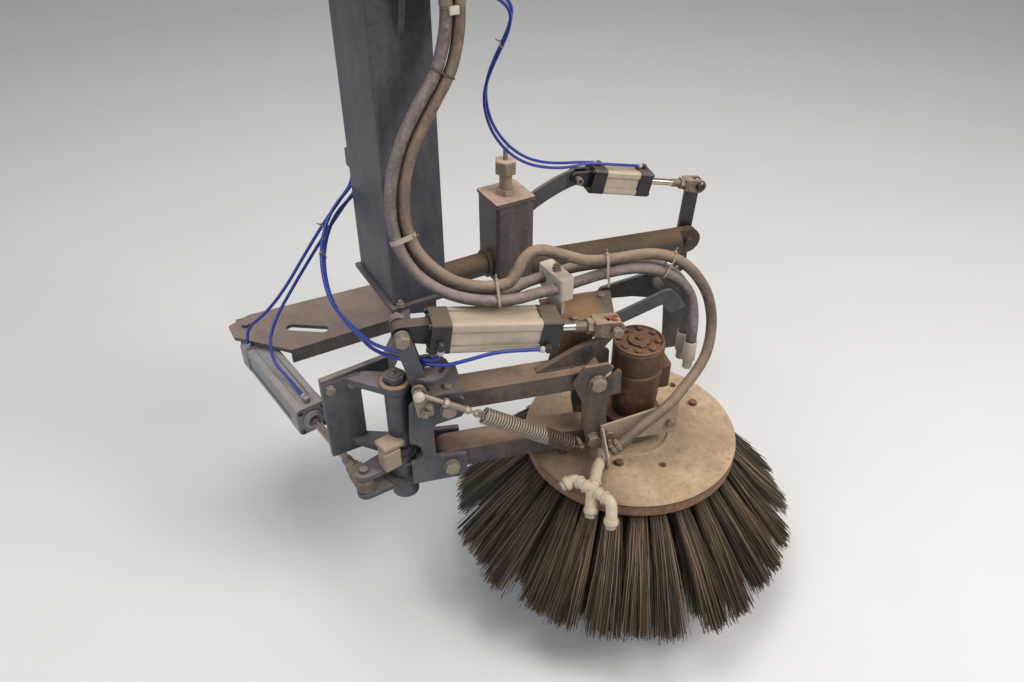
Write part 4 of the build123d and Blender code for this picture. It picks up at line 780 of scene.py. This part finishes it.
finishes["bristle"] = bristleFinish("bristle")
broom = {"rows": [  # tufts, strands in a tuft, root radius, tip radius, width at the tips
    (30, 196, 224, 408, 84), (26, 156, 190, 368, 90), (21, 108, 156, 300, 92)],
    "below": 34, "drop": 234, "rootWidth": 34, "strand": 0.85, "bow": 5, "sag": 5, "unevenness": 0.40,
    "sideLean": 0.08}


def bristleTree(strand):
    sizes = ("Root radius", "Tip radius", "Drop", "Root width", "Tip width", "Unevenness", "Side lean")
    rows, value = newTree("bristleRows", {"Tufts": "Int", "Strands": "Int", "Seed": "Int",
                                          **dict.fromkeys(sizes, "Float")})
    index = rows.node("GeometryNodeInputIndex")
    tuft = rows.maths("FLOOR", (index + 0.01) / value["Strands"])

    def random(low, high, seed, **each):
        return rows.node("FunctionNodeRandomValue", {"data_type": "FLOAT"},
                         {2: low, 3: high, "Seed": value["Seed"] + seed, **each}, 1)

    def perTuft(low, high, seed):
        return random(low, high, seed, ID=tuft)

    def onRing(angle, outward, across, drop):
        cosine, sine = rows.maths("COSINE", angle), rows.maths("SINE", angle)
        return rows.vector(cosine * outward - sine * across, sine * outward + cosine * across, drop)

    # a strand keeps its side of the tuft from root to tip, so that the tuft fans out
    rootAngle = (tuft + perTuft(-0.5, 0.5, 20) * value["Unevenness"]) / value["Tufts"] * 2 * math.pi
    tipAngle = rootAngle + perTuft(-0.5, 0.5, 21) * value["Side lean"]
    side, depth = random(-0.5, 0.5, 1), random(-0.5, 0.5, 2)
    rootOut = value["Root radius"] + depth * value["Root width"] * 0.5
    root = onRing(rootAngle, rootOut, side * value["Root width"], 0.0)
    fanOut = (depth * 0.6 + random(-0.5, 0.5, 5) * 0.5) * value["Tip width"] * 0.42
    fanAcross = side * 0.62 + random(-0.5, 0.5, 4) * 0.30 + random(-0.5, 0.5, 6) * 0.30
    tipOut = value["Tip radius"] + perTuft(-1.0, 1.0, 9) * 0.007 + fanOut
    tipDrop = random(0.92, 1.0, 7) * perTuft(0.93, 1.0, 15) * value["Drop"] * -1
    tip = onRing(tipAngle, tipOut, fanAcross * value["Tip width"], tipDrop)
    run = rows.vectors("SUBTRACT", tip, root)
    points = rows.node("GeometryNodePoints", {},
                       {"Count": value["Tufts"] * value["Strands"], "Position": root, "Radius": 0.001})
    hair = rows.node("GeometryNodeObjectInfo", {}, {"Object": strand}, "Geometry")
    placed = rows.node("GeometryNodeInstanceOnPoints", {}, {
        "Points": points, "Instance": hair, "Scale": rows.vector(1.0, 1.0, rows.vectors("LENGTH", run)),
        "Rotation": rows.node("FunctionNodeAlignEulerToVector", {"axis": "Z"}, {"Vector": run})})
    toned = rows.node("GeometryNodeStoreNamedAttribute", {"data_type": "FLOAT", "domain": "INSTANCE"},
                      {"Geometry": placed, "Name": "shade", "Value": random(0.0, 1.0, 12)})
    return endTree(rows, toned, finishes["bristle"])


def strandShape(width, bow, sag, steps=2, corners=3):  # one unit long, bent to the side
    verts = []
    for step in range(steps + 1):
        part = step / steps
        bend = bow * math.sin(math.pi * part) + sag * part * part
        verts += [(width * math.cos(turn) + bend, width * math.sin(turn), part) for turn in anglesOf(corners)]
    return addPiece("strandShape", verts, skin(steps + 1, corners), finishes["bristle"])


strand = strandShape(broom["strand"] / 1000, broom["bow"] / 1000, broom["sag"] / 1000)
rowTree = bristleTree(strand)
rowMeshes = []
for seed, (tufts, strands, rootRadius, tipRadius, spread) in enumerate(broom["rows"]):
    mesh = withTree(addPiece("bristleRow", [], [], finishes["bristle"]), rowTree, {
        "Tufts": tufts, "Strands": strands, "Root radius": rootRadius / 1000, "Tip radius": tipRadius / 1000,
        "Drop": broom["drop"] / 1000, "Root width": broom["rootWidth"] / 1000, "Tip width": spread / 1000,
        "Unevenness": broom["unevenness"], "Side lean": broom["sideLean"], "Seed": 40 * seed + 3})
    mesh.transform(Matrix.Translation(overBroom(-broom["below"]) / 1000))
    rowMeshes.append(mesh)
bpy.data.objects.remove(strand)
allRows = joinedMesh("broomBristles", rowMeshes, finishes["bristle"])
bristles = ridingPiece("broomBristles", allRows, "broom")
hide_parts("bristles")
print("bristles:", sum(len(p.vertices) - 2 for p in bristles.data.polygons), "triangles")

# heads one unit wide across flats: rows of radius and height, corners, and the rows that are hexagons
headShapes = {
    "hexHead": ([(0.62, 0), (0.62, 0.10), (0.5, 0.10), (0.5, 0.44), (0.455, 0.50)], 24, (2, 3)),
    "socketHead": ([(0.5, 0), (0.5, 0.42), (0.45, 0.48), (0.28, 0.48), (0.26, 0.2)], 18, (3, 4)),
    "nutStud": ([(0.62, 0), (0.62, 0.10), (0.5, 0.10), (0.5, 0.52), (0.30, 0.54), (0.30, 0.80), (0.24, 0.86)],
                24, (2, 3)),
    "bead": ([(0.02, -0.26), (0.34, -0.17), (0.5, 0.0), (0.34, 0.17), (0.02, 0.26)], 9, ()),
}


def headShape(name, profile, sides, hexRows):
    verts = []
    for row, (radius, height) in enumerate(profile):
        for turn in anglesOf(sides):
            reach = radius / math.cos((turn % (math.pi / 3)) - math.pi / 6) if row in hexRows else radius
            verts.append((reach * math.cos(turn), reach * math.sin(turn), height))
    return addPiece(name, verts, skin(len(profile), sides), finishes["bareSteel"], False)


heads = {name: headShape(name, *shape) for name, shape in headShapes.items()}


def fastenerTree():
    rows, value = newTree("fasteners", {"Head": "Object", "Finish": "Material"})
    facing = rows.node("GeometryNodeInputNamedAttribute", {"data_type": "FLOAT_VECTOR"}, {"Name": "facing"})
    width = rows.node("GeometryNodeInputNamedAttribute", {"data_type": "FLOAT"}, {"Name": "width"})
    spin = rows.node("FunctionNodeRandomValue", {"data_type": "FLOAT"}, {2: 0.0, 3: 6.28, "Seed": 5}, 1)
    standing = rows.node("FunctionNodeAlignEulerToVector", {"axis": "Z"}, {"Vector": facing})
    spun = rows.node("FunctionNodeRotateEuler", {"rotation_type": "AXIS_ANGLE", "space": "LOCAL"},
                     {"Rotation": standing, "Axis": (0, 0, 1), "Angle": spin})
    head = rows.node("GeometryNodeObjectInfo", {}, {"Object": value["Head"]}, "Geometry")
    scale = rows.vector(width, width, width)
    placed = rows.node("GeometryNodeInstanceOnPoints", {},
                       {"Points": value["Geometry"], "Instance": head, "Rotation": spun, "Scale": scale})
    return endTree(rows, placed, value["Finish"])


headTree = fastenerTree()


def fasten(name, body, rows, finish):
    meshes = []
    for kind, head in heads.items():
        chosen = [row for row in rows if row[0] == kind]
        if not chosen:
            continue
        seat = addPiece("seat", [spot / 1000 for kind, way, width, spot in chosen], [], finishes[finish])
        facing = seat.data.attributes.new("facing", "FLOAT_VECTOR", "POINT").data
        facing.foreach_set("vector", [part for kind, way, width, spot in chosen for part in way.normalized()])
        widths = seat.data.attributes.new("width", "FLOAT", "POINT").data
        widths.foreach_set("value", [width / 1000 for kind, way, width, spot in chosen])
        meshes.append(withTree(seat, headTree, {"Head": head, "Finish": finishes[finish]}))
    ridingPiece(name, joinedMesh(name, meshes, finishes[finish]), body)


def bolts(kind, way, width, *spots):
    return [(kind, way, width, spot) for spot in spots]


# the bolts of each body: kind, way out of the surface, width across flats and places
lidRing = [(43 * math.cos(a), 43 * math.sin(a)) for a in [math.radians(22.5 + 45 * k) for k in range(8)]]
boltRows = {
    "swing_frame": bolts("hexHead", outboard, 30, arm(100, -48, 222), arm(100, -48, 58))
    + bolts("nutStud", armIn, 30, arm(100, 48, 222), arm(100, 48, 58))
    + bolts("hexHead", outboard, 26, arm(20, -32, 402)) + bolts("nutStud", armIn, 26, arm(20, 32, 402))
    + bolts("nutStud", outboard, 17, arm(50, -54, 228)) + bolts("nutStud", outboard, 13, arm(60, -54, 246))
    + bolts("hexHead", up, 15, arm(104, 30, 264), arm(104, -30, 264)),
    "carrier": bolts("hexHead", outboard, 32, arm(426, -44, 222), arm(426, -44, 58))
    + bolts("nutStud", armIn, 32, arm(426, 44, 222), arm(426, 44, 58))
    + bolts("hexHead", outboard, 19, arm(459, -50, 72), arm(609, -50, 72)),
    "chassis_side": bolts("hexHead", truck(0, -1, 0), 19, at(-281, -268, 262), at(-233, -268, 262))
    + bolts("nutStud", up, 17, truck(-52, -108, -702), truck(52, -108, -702))
    + bolts("socketHead", -nozzleIn, 20, nozzle(205, -30, 320)),
    "upper_link": bolts("nutStud", up, 15, arm(clamp["s"], clamp["y"], clamp["top"] + 4))
    + bolts("hexHead", outboard, 20, arm(470, -24, 335))
    + bolts("hexHead", up, 15, arm(392, 30, 344), arm(476, 96, 344)),
}
rustyRows = {
    "carrier": bolts("hexHead", up, 13, *[overBroom(258, s, y) for s, y in lidRing])
    + bolts("hexHead", up, 14, overBroom(262.5)),
    "broom": bolts("hexHead", up, 17, arm(728, 70, 0), arm(480, -80, 0), arm(366, -10, 0), arm(614, 140, 0)),
}
capBolt = {"spread": 28, "width": 11}
for name, cylinder in cylinders.items():
    along = cylinder["along"]
    cross, top = cylinder["pin"] * capBolt["spread"], cylinder["top"] * capBolt["spread"]
    rows = []
    for place, way in ((cylinder["front"], along), (cylinder["start"], -along)):
        face = cylinder["tail"] + along * place
        corners = [face + cross * i + top * j for i in (-1, 1) for j in (-1, 1)]
        rows += bolts("socketHead", way, capBolt["width"], *corners)
    boltRows[name + "_cylinder"] = rows
for body, rows in boltRows.items():
    fasten(body.replace("_", "") + "Bolts", body, rows, "cylinderCap" if "cylinder" in body else "bareSteel")
for body, rows in rustyRows.items():
    fasten(body + "RustyBolts", body, rows, "rustyIron")


# weld beads: small overlapping drops along a line, or round a tube
beadSteps = {"step": 0.42, "swell": 0.16, "wave": 3.1, "ringSteps": 24}


def beadLine(width, *points):
    rows = []
    for a, b in zip(points, points[1:]):
        count = max(int((b - a).length / (width * beadSteps["step"])), 1)
        for k in range(count):
            swollen = width * (1 + beadSteps["swell"] * math.sin(beadSteps["wave"] * k))
            rows += bolts("bead", b - a, swollen, a + (b - a) * k / count)
    return rows


def beadRing(centre, axis, radius, width):
    first = axis.orthogonal().normalized()
    second = axis.cross(first).normalized()
    steps = beadSteps["ringSteps"]
    turns = [math.radians(k * 360 / steps) for k in range(steps + 1)]
    return beadLine(width, *[centre + around(first, second, turn) * radius for turn in turns])


postX, postY = places["post"]
welds = {  # beads and finish for each body
    "chassis_side": (beadRing(nozzle(60, 0, 52), nozzleDir, 42, 8)
                     + beadLine(6, at(postX - 61, postY - 61, 291), at(postX + 61, postY - 61, 291))
                     + beadRing(at(68, postY, 90), truck(1, 0, 0), 36, 8), "postPaint"),
    "upper_link": (beadLine(7, arm(302, -7, 246), arm(388, -7, 246))
                   + beadLine(7, arm(302, 7, 246), arm(388, 7, 246))
                   + beadLine(7, arm(338, 17, 246), arm(412, 17, 246)), "armPaint"),
    "swing_frame": (beadRing(arm(0, 0, 79), up, 44, 8) + beadRing(arm(0, 0, 24), up, 44, 8), "framePaint"),
    "carrier": (beadLine(6, arm(450, -45, 46), arm(414, -45, 36))
                + beadRing(overBroom(47), up, 67, 6), "rustyIron"),
}
for body, (rows, finish) in welds.items():
    fasten(body.replace("_", "") + "Welds", body, rows, finish)
for head in heads.values():
    bpy.data.objects.remove(head)
print("bolts and welds set")


# small turned, cut and bent parts: a shape is points in mm and faces, a profile is distances and radii
def lathe(base, axis, profile, sides=24, closed=True):
    axis = axis.normalized()
    first = axis.orthogonal().normalized()
    second = axis.cross(first)
    points = [base + axis * distance + around(first, second, angle) * radius
              for distance, radius in profile for angle in anglesOf(sides)]
    return points, skin(len(profile), sides, closed)


def block(centre, xWay, yWay, size, edge=1.5):  # a box with cut edges
    xWay, yWay = xWay.normalized(), yWay.normalized()
    zWay = xWay.cross(yWay)
    points, half = [], size[2] / 2
    for height, inset in ((-half, edge), (-half + edge, 0), (half - edge, 0), (half, edge)):
        a, b = size[0] / 2 - inset, size[1] / 2 - inset
        corners = ((a - edge, b), (-a + edge, b), (-a, b - edge), (-a, -b + edge),
                   (-a + edge, -b), (a - edge, -b), (a, -b + edge), (a, b - edge))
        points += [centre + xWay * x + yWay * y + zWay * height for x, y in corners]
    return points, skin(4, 8)


def partsMesh(name, shapes, finish, smooth):
    verts, faces = [], []
    for points, cells in shapes:
        offset = len(verts)
        verts += [p / 1000 for p in points]
        faces += [tuple(offset + i for i in cell) for cell in cells]
    mesh = newMesh(name, verts, faces, finishes[finish], smooth)
    shell = bmesh.new()
    shell.from_mesh(mesh)
    bmesh.ops.recalc_face_normals(shell, faces=shell.faces)
    shell.to_mesh(mesh)
    shell.free()
    if smooth:
        mesh.shade_smooth()
        mesh.set_sharp_from_angle(angle=math.radians(40))
    return mesh


def addParts(name, body, shapes, finish, smooth=False):
    ridingPiece(name, partsMesh(name, shapes, finish, smooth), body)


# strap or cable tie drawn round the hoses where they cross a plane
def nearest(line, spot):
    index = min(range(1, len(line) - 1), key=lambda k: (line[k] - spot / 1000).length)
    return line[index] * 1000, (line[index + 1] - line[index - 1]).normalized()


def tieRound(hoses, spot, reach, wide, thick=1.6, headSize=(7, 6, 5), steps=48):
    centres = [nearest(lines[hose], spot)[0] for hose in hoses]
    way = nearest(lines[hoses[0]], spot)[1]
    centres = [c - way * (c - centres[0]).dot(way) for c in centres]
    across = centres[-1] - centres[0]
    across = (across - way * across.dot(way)).normalized()
    other = way.cross(across)
    ring, points, faces = [], [], []
    for angle in anglesOf(steps):
        outward = around(across, other, angle)
        far = max(centres, key=lambda c: (c - centres[0]).dot(outward))
        inner = far + outward * reach
        ring.append((inner, outward))
        points += [inner - way * wide / 2, inner + way * wide / 2,
                   inner + way * wide / 2 + outward * thick, inner - way * wide / 2 + outward * thick]
    for k in range(steps):
        here, there = 4 * k, 4 * ((k + 1) % steps)
        faces += [(here + c, there + c, there + (c + 1) % 4, here + (c + 1) % 4) for c in range(4)]
    lockSpot, lockOut = max(ring, key=lambda step: step[1].z)  # the lock lies on top
    aside = lockOut.cross(way)
    lock = block(lockSpot + lockOut * (thick + 1), aside, way, headSize, 1)
    tail = block(lockSpot + lockOut * (thick + 5) + aside * 4, lockOut, way, (12, 3, 1.2), 0.4)
    return [(points, faces), lock, tail]


hoseReach, tubeReach = 12.2, 4.2
feeds, crossings, drops = ([f"{hose}_{stretch}" for hose in covers] for stretch in ("feed", "cross", "drop"))
airTie = {"reach": tubeReach, "wide": 4, "thick": 1.2, "headSize": (5, 4, 4)}
ties = [  # name, body, finish and shapes
    ("crossTie", "swing_frame", "tieNylon", tieRound(crossings, arm(226, 28, 440), hoseReach, 6)),
    ("feedTies", "upper_link", "tieNylon", tieRound(feeds, arm(470, 64, 445), hoseReach, 6)
     + tieRound(feeds[:2], arm(612, 58, 440), hoseReach, 4, 1.2)),
    ("hangingTail", "upper_link", "tieNylon", [block(arm(472, 50, 412), armDir, up, (5, 26, 1.4), 0.4)]),
    ("dropTwine", "chassis_side", "tieDark",
     tieRound(drops[:2], truck(50, -178, -168), hoseReach, 3.4, 2.2, (6, 5, 5))),
    ("dropStrap", "chassis_side", "tieNylon", tieRound(drops[:2], truck(-80, -228, -462), hoseReach, 11)),
    ("dropClip", "chassis_side", "clampPlastic",
     [block(truck(76, -182, -54), truck(1, 0, 0), up, (20, 16, 9))]),
    ("tubeTies", "chassis_side", "tieNylon",
     tieRound(["swing_tube_rear", "swing_tube_front"], truck(-120, 140, -600), **airTie)
     + tieRound(["lift_tube_rear_drop", "lift_tube_front_drop"], truck(-180, 20, -600), **airTie)
     + tieRound(["nozzle_tube_rear", "nozzle_tube_front"], truck(320, 85, -225), **airTie)),
]
for name, body, finish, shapes in ties:
    addParts(name, body, shapes, finish)
print("ties drawn")

# push-in fittings where the air tubes end, then each cylinder's bearing boss and the thread behind its eye
pushDepth = 7
pushProfile = [(0, 5.9), (0, 7.2), (6, 7.2), (7, 6.6), (7, 5.6), (9.5, 5.6), (10, 5.2), (10, 4.3)]
bossProfile = [(0, 21), (2, 24), (7, 24), (8, 23), (8.4, 20), (11, 19.4), (12, 18), (12, 14), (9, 13),
               (9, 10.6)]
rodThread = {"from": 88, "pitch": 2.8, "turns": 9, "root": 10.4, "crest": 12, "chamfer": 10.1}
for name, ends in ports.items():
    plugs = [lathe(end - way * pushDepth, way, pushProfile, 18, False) for end, way in ends]
    addParts(name + "Fittings", name + "_cylinder", plugs, "fittingGrey", True)
for name, cylinder in cylinders.items():
    along = cylinder["along"]
    boss = lathe(cylinder["tail"] + along * cylinder["front"], along, bossProfile, 32, False)
    addParts(name + "Boss", name + "_cylinder", [boss], cylinder["cap"], True)
    begin = cylinder["reach"] - rodThread["from"]
    thread = [(begin - 1, rodThread["chamfer"])]
    for k in range(rodThread["turns"]):
        here = begin + rodThread["pitch"] * k
        thread += [(here, rodThread["root"]), (here + rodThread["pitch"] / 2, rodThread["crest"])]
    screw = lathe(cylinder["tail"], along, thread, 24, False)
    addParts(name + "Thread", name + "_rod", [screw], "bareSteel", True)

# spray pipe: collars and tips at its three ends, rims of its elbows and tee
spray = {"tee": arm(384, -170, 30), "leftBend": arm(356, -128, 30), "rightBend": arm(412, -211, 30),
         "plugBend": arm(397, -146, 30), "outletAim": arm(372, -199, -10), "outletLong": 50}
outletWay = spray["outletAim"] - spray["tee"]
sprayEnds = [(arm(334, -132, 21), arm(334, -132, 21) - arm(356, -128, 30)),
             (arm(406, -234, -14), arm(406, -234, -14) - arm(409, -226, 8)),
             (spray["tee"] + outletWay.normalized() * spray["outletLong"], outletWay)]
collarProfile = [(0, 12.6), (0, 15.6), (3, 16.2), (10, 16.2), (12, 15.2), (13, 15.2), (13, 11)]
tipProfile = [(0, 10.5), (0, 14.0), (3, 14.0), (4, 12.4), (11, 11.6), (12.5, 9.6), (12.5, 7), (3, 6),
              (3, 0.5)]
rimProfile = [(0, 12.3), (0, 14.6), (1, 15.6), (5, 15.6), (6, 14.6), (6, 12.3)]
rims = [("leftBend", 0.34), ("leftBend", 0.70), ("rightBend", 0.32), ("rightBend", 0.66), ("plugBend", 0.78)]
collars, tips = [], []
for end, way in sprayEnds:
    way = way.normalized()
    collars.append(lathe(end - way * 13, way, collarProfile, 12, False))
    tips.append(lathe(end - way * 2, way, tipProfile, 20, False))
for far, share in rims:
    run = spray[far] - spray["tee"]
    way = run.normalized()
    collars.append(lathe(spray["tee"] + run * share - way * 3, way, rimProfile, 28, False))
addParts("sprayCollars", "carrier", collars, "sprayPlastic", True)
addParts("sprayTips", "carrier", tips, "sprayTip", True)

# worm clip where the water hose goes on the spray pipe: two bands, their blocks and the screw
hoseEnd, hoseWay = arm(460, -77, 41), (arm(479, -79, 56) - arm(460, -77, 41)).normalized()
clipSide = hoseWay.cross(up).normalized()
clipTop = clipSide.cross(hoseWay).normalized()
clipSizes = {"bands": (4, 17), "screw": 9, "end": 22, "high": 17,
             "band": [(0, 12.1), (0, 13.4), (0.8, 13.9), (9.2, 13.9), (10, 13.4), (10, 12.1)],
             "head": [(0, 3.6), (0, 5.2), (5, 5.2), (5.6, 4.6), (5.6, 1), (4.4, 0.9)]}


def onClip(along, high):
    return hoseEnd + hoseWay * along + clipTop * high


screwSpot = onClip(clipSizes["screw"], clipSizes["high"] + 0.5) - clipSide * 8
clip = [lathe(onClip(band, 0), hoseWay, clipSizes["band"], 30, False) for band in clipSizes["bands"]]
clip += [block(onClip(clipSizes["screw"], clipSizes["high"]), clipSide, hoseWay, (15, 10, 8)),
         lathe(screwSpot, -clipSide, clipSizes["head"], 14),
         block(onClip(clipSizes["end"], clipSizes["high"]), clipSide, hoseWay, (13, 9, 7))]
addParts("hoseClip", "carrier", clip, "bareSteel")

# stops on the swing lever, dust cap of the pivot, red clip on the lift fork, motor lid, grease nipple
lever = {"way": Vector((-0.989, -0.146, 0)), "block": at(-199, -352, 103), "blockSize": (40, 34, 50),
         "plate": at(-193, -346, 137), "plateSize": (52, 42, 12)}
leverSide = up.cross(lever["way"])
stops = [block(lever["block"], lever["way"], leverSide, lever["blockSize"], 3),
         block(lever["plate"], lever["way"], leverSide, lever["plateSize"], 2)]
addParts("leverStop", "swing_frame", stops, "spindlePaint")
cap = lathe(arm(0, 0, 276), up, [(0, 33), (3, 34), (6, 33), (7.6, 30), (8, 24)], 32, False)
addParts("pivotCap", "swing_frame", [cap], "armPaint", True)
eye, along = cylinders["lift"]["eye"], cylinders["lift"]["along"]
clipRing = lathe(eye - along * 2 - armIn * 12 + up * 20, armIn, [(0, 3), (0, 5.5), (8, 5.5), (8, 3)], 12)
clipTail = block(eye - along * 12 + up * 22, along, armIn, (20, 6, 3), 1)
addParts("redClip", "lift_rod", [clipRing, clipTail], "redClip")
lidProfile = [(0, 56), (0.6, 57.4), (3, 57.4), (4.4, 55.5), (4.4, 52), (1.2, 50.5), (1.0, 27)]
motorLid = [lathe(overBroom(257.6), up, lidProfile, 48, False),
            lathe(overBroom(262), up, [(0, 25), (1.5, 24.4), (1.5, 3), (0.6, 2)], 36)]
addParts("motorLid", "carrier", motorLid, "rustyIron", True)
nipple = lathe(arm(0, 0, 298), up, [(0, 5), (4, 5), (4, 3), (9, 2.6), (10, 3.4), (13, 3.4), (14, 2)], 14)
addParts("greaseNipple", "swing_frame", [nipple], "bareSteel", True)
print("small parts made")

# lift spring with its rod, nuts and hooks: wire trees, one for the coil and one along given points
spring = {"top": arm(41, -62, 286), "low": arm(392, -62, 56), "wire": 2.5, "coilRadius": 16.4,
          "coilFrom": 156, "coilTo": 390, "turns": 34, "rod": 4.6, "ring": 3, "thread": 6.8,
          "threadFrom": 66, "knob": 12}
springWay = (spring["low"] - spring["top"]).normalized()
springLength = (spring["low"] - spring["top"]).length
springSide = springWay.cross(outboard).normalized()


def onSpring(distance, side=0.0):
    return spring["top"] + springWay * distance + springSide * side


def wireTree(name, helix):
    sizes = ("Turns", "Coil radius", "Length", "Wire radius") if helix else ("Wire radius",)
    rows, value = newTree(name, dict.fromkeys(sizes, "Float"))
    if helix:
        path = rows.node("GeometryNodeCurveSpiral", {}, {
            "Resolution": 16, "Rotations": value["Turns"], "Start Radius": value["Coil radius"],
            "End Radius": value["Coil radius"], "Height": value["Length"]})
    else:
        path = rows.node("GeometryNodeMeshToCurve", {}, {"Mesh": value["Geometry"]})
    section = rows.node("GeometryNodeCurvePrimitiveCircle", {},
                        {"Resolution": 8, "Radius": value["Wire radius"]})
    tube = rows.node("GeometryNodeCurveToMesh", {},
                     {"Curve": path, "Profile Curve": section, "Fill Caps": True})
    rounded = rows.node("GeometryNodeSetShadeSmooth", {}, {"Geometry": tube})
    return endTree(rows, rounded, finishes["springSteel"])


def drawn(tree, values, points=()):
    seat = addPiece("wireSeat", [p / 1000 for p in points], [], finishes["springSteel"])
    seat.data.edges.add(max(len(points) - 1, 0))
    for index, edge in enumerate(seat.data.edges):
        edge.vertices = (index, index + 1)
    return withTree(seat, tree, values)


def hook(centre, radius, first, last):  # part of a ring, with its angles from the spring's own way
    turns = [math.radians(angle) for angle in range(first, last, 15 if last > first else -15)]
    return [onSpring(centre + radius * math.cos(turn), radius * math.sin(turn)) for turn in turns]


coilTree, alongPoints = wireTree("springCoil", True), wireTree("springWire", False)
coil = drawn(coilTree, {"Turns": spring["turns"], "Coil radius": spring["coilRadius"] / 1000,
                        "Length": (spring["coilTo"] - spring["coilFrom"]) / 1000,
                        "Wire radius": spring["wire"] / 1000})
coil.transform(Matrix.Translation(onSpring(spring["coilFrom"]) / 1000)
               @ Matrix((springSide, springWay.cross(springSide), springWay)).transposed().to_4x4())
begin, end, edge = spring["coilFrom"], spring["coilTo"], spring["coilRadius"] - 1
wires = [  # radius of the wire and its points
    (spring["wire"], hook(begin - 6, 7, 300, 30) + [onSpring(begin + 1, 8), onSpring(begin + 1, edge)]),
    (spring["wire"], [onSpring(end - 1, edge), onSpring(end + 4, 9), onSpring(end + 12, 4)]
     + hook(springLength, 8, 165, -121)),
    (spring["rod"], hook(0, 8, 210, 10) + [onSpring(d) for d in (14, 40, 66)]),
    (spring["ring"], [onSpring(d) for d in (120, 130)] + hook(141, 8, 195, 541)),
]
springMeshes = [coil] + [drawn(alongPoints, {"Wire radius": radius / 1000}, points)
                         for radius, points in wires]
print("spring wound")

# its threaded rod, nuts and the knob on the top end
thread = [(spring["threadFrom"] + 1.5 * k, spring["thread"] - 0.7 * (k % 2)) for k in range(37)]
nut = [(56, 4), (56, 9.5), (58, 10.4), (66, 10.4), (68, 9.5), (68, 6)]
lockNut = [(108, 6), (108, 8.4), (110, 9.2), (117, 9.2), (119, 8.4), (122, 6.6), (124, 5), (126, 3)]
springRod = [lathe(onSpring(0), springWay, [(65, 2)] + thread + [(121, 2)], 20),
             lathe(onSpring(0), springWay, nut, 6, False), lathe(onSpring(0), springWay, lockNut, 6, False)]
springMeshes.append(partsMesh("springRod", springRod, "springSteel", True))
wide = spring["knob"]
knob = [(3, 5), (4, 9), (8, wide), (13, wide), (17, 9.4), (19, 5), (19.6, 1)]
addParts("springKnob", "swing_frame", [lathe(onSpring(-3), outboard, knob, 28)], "clampPlastic",
         True)

liftSpring = newObject("liftSpring", joinedMesh("liftSpring", springMeshes, finishes["springSteel"]))
liftSpring.data.set_sharp_from_angle(angle=math.radians(40))
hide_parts("lift_spring")
tuple(spring["top"] / 1000)
tuple(spring["low"] / 1000)
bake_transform(liftSpring)
print("spring made")
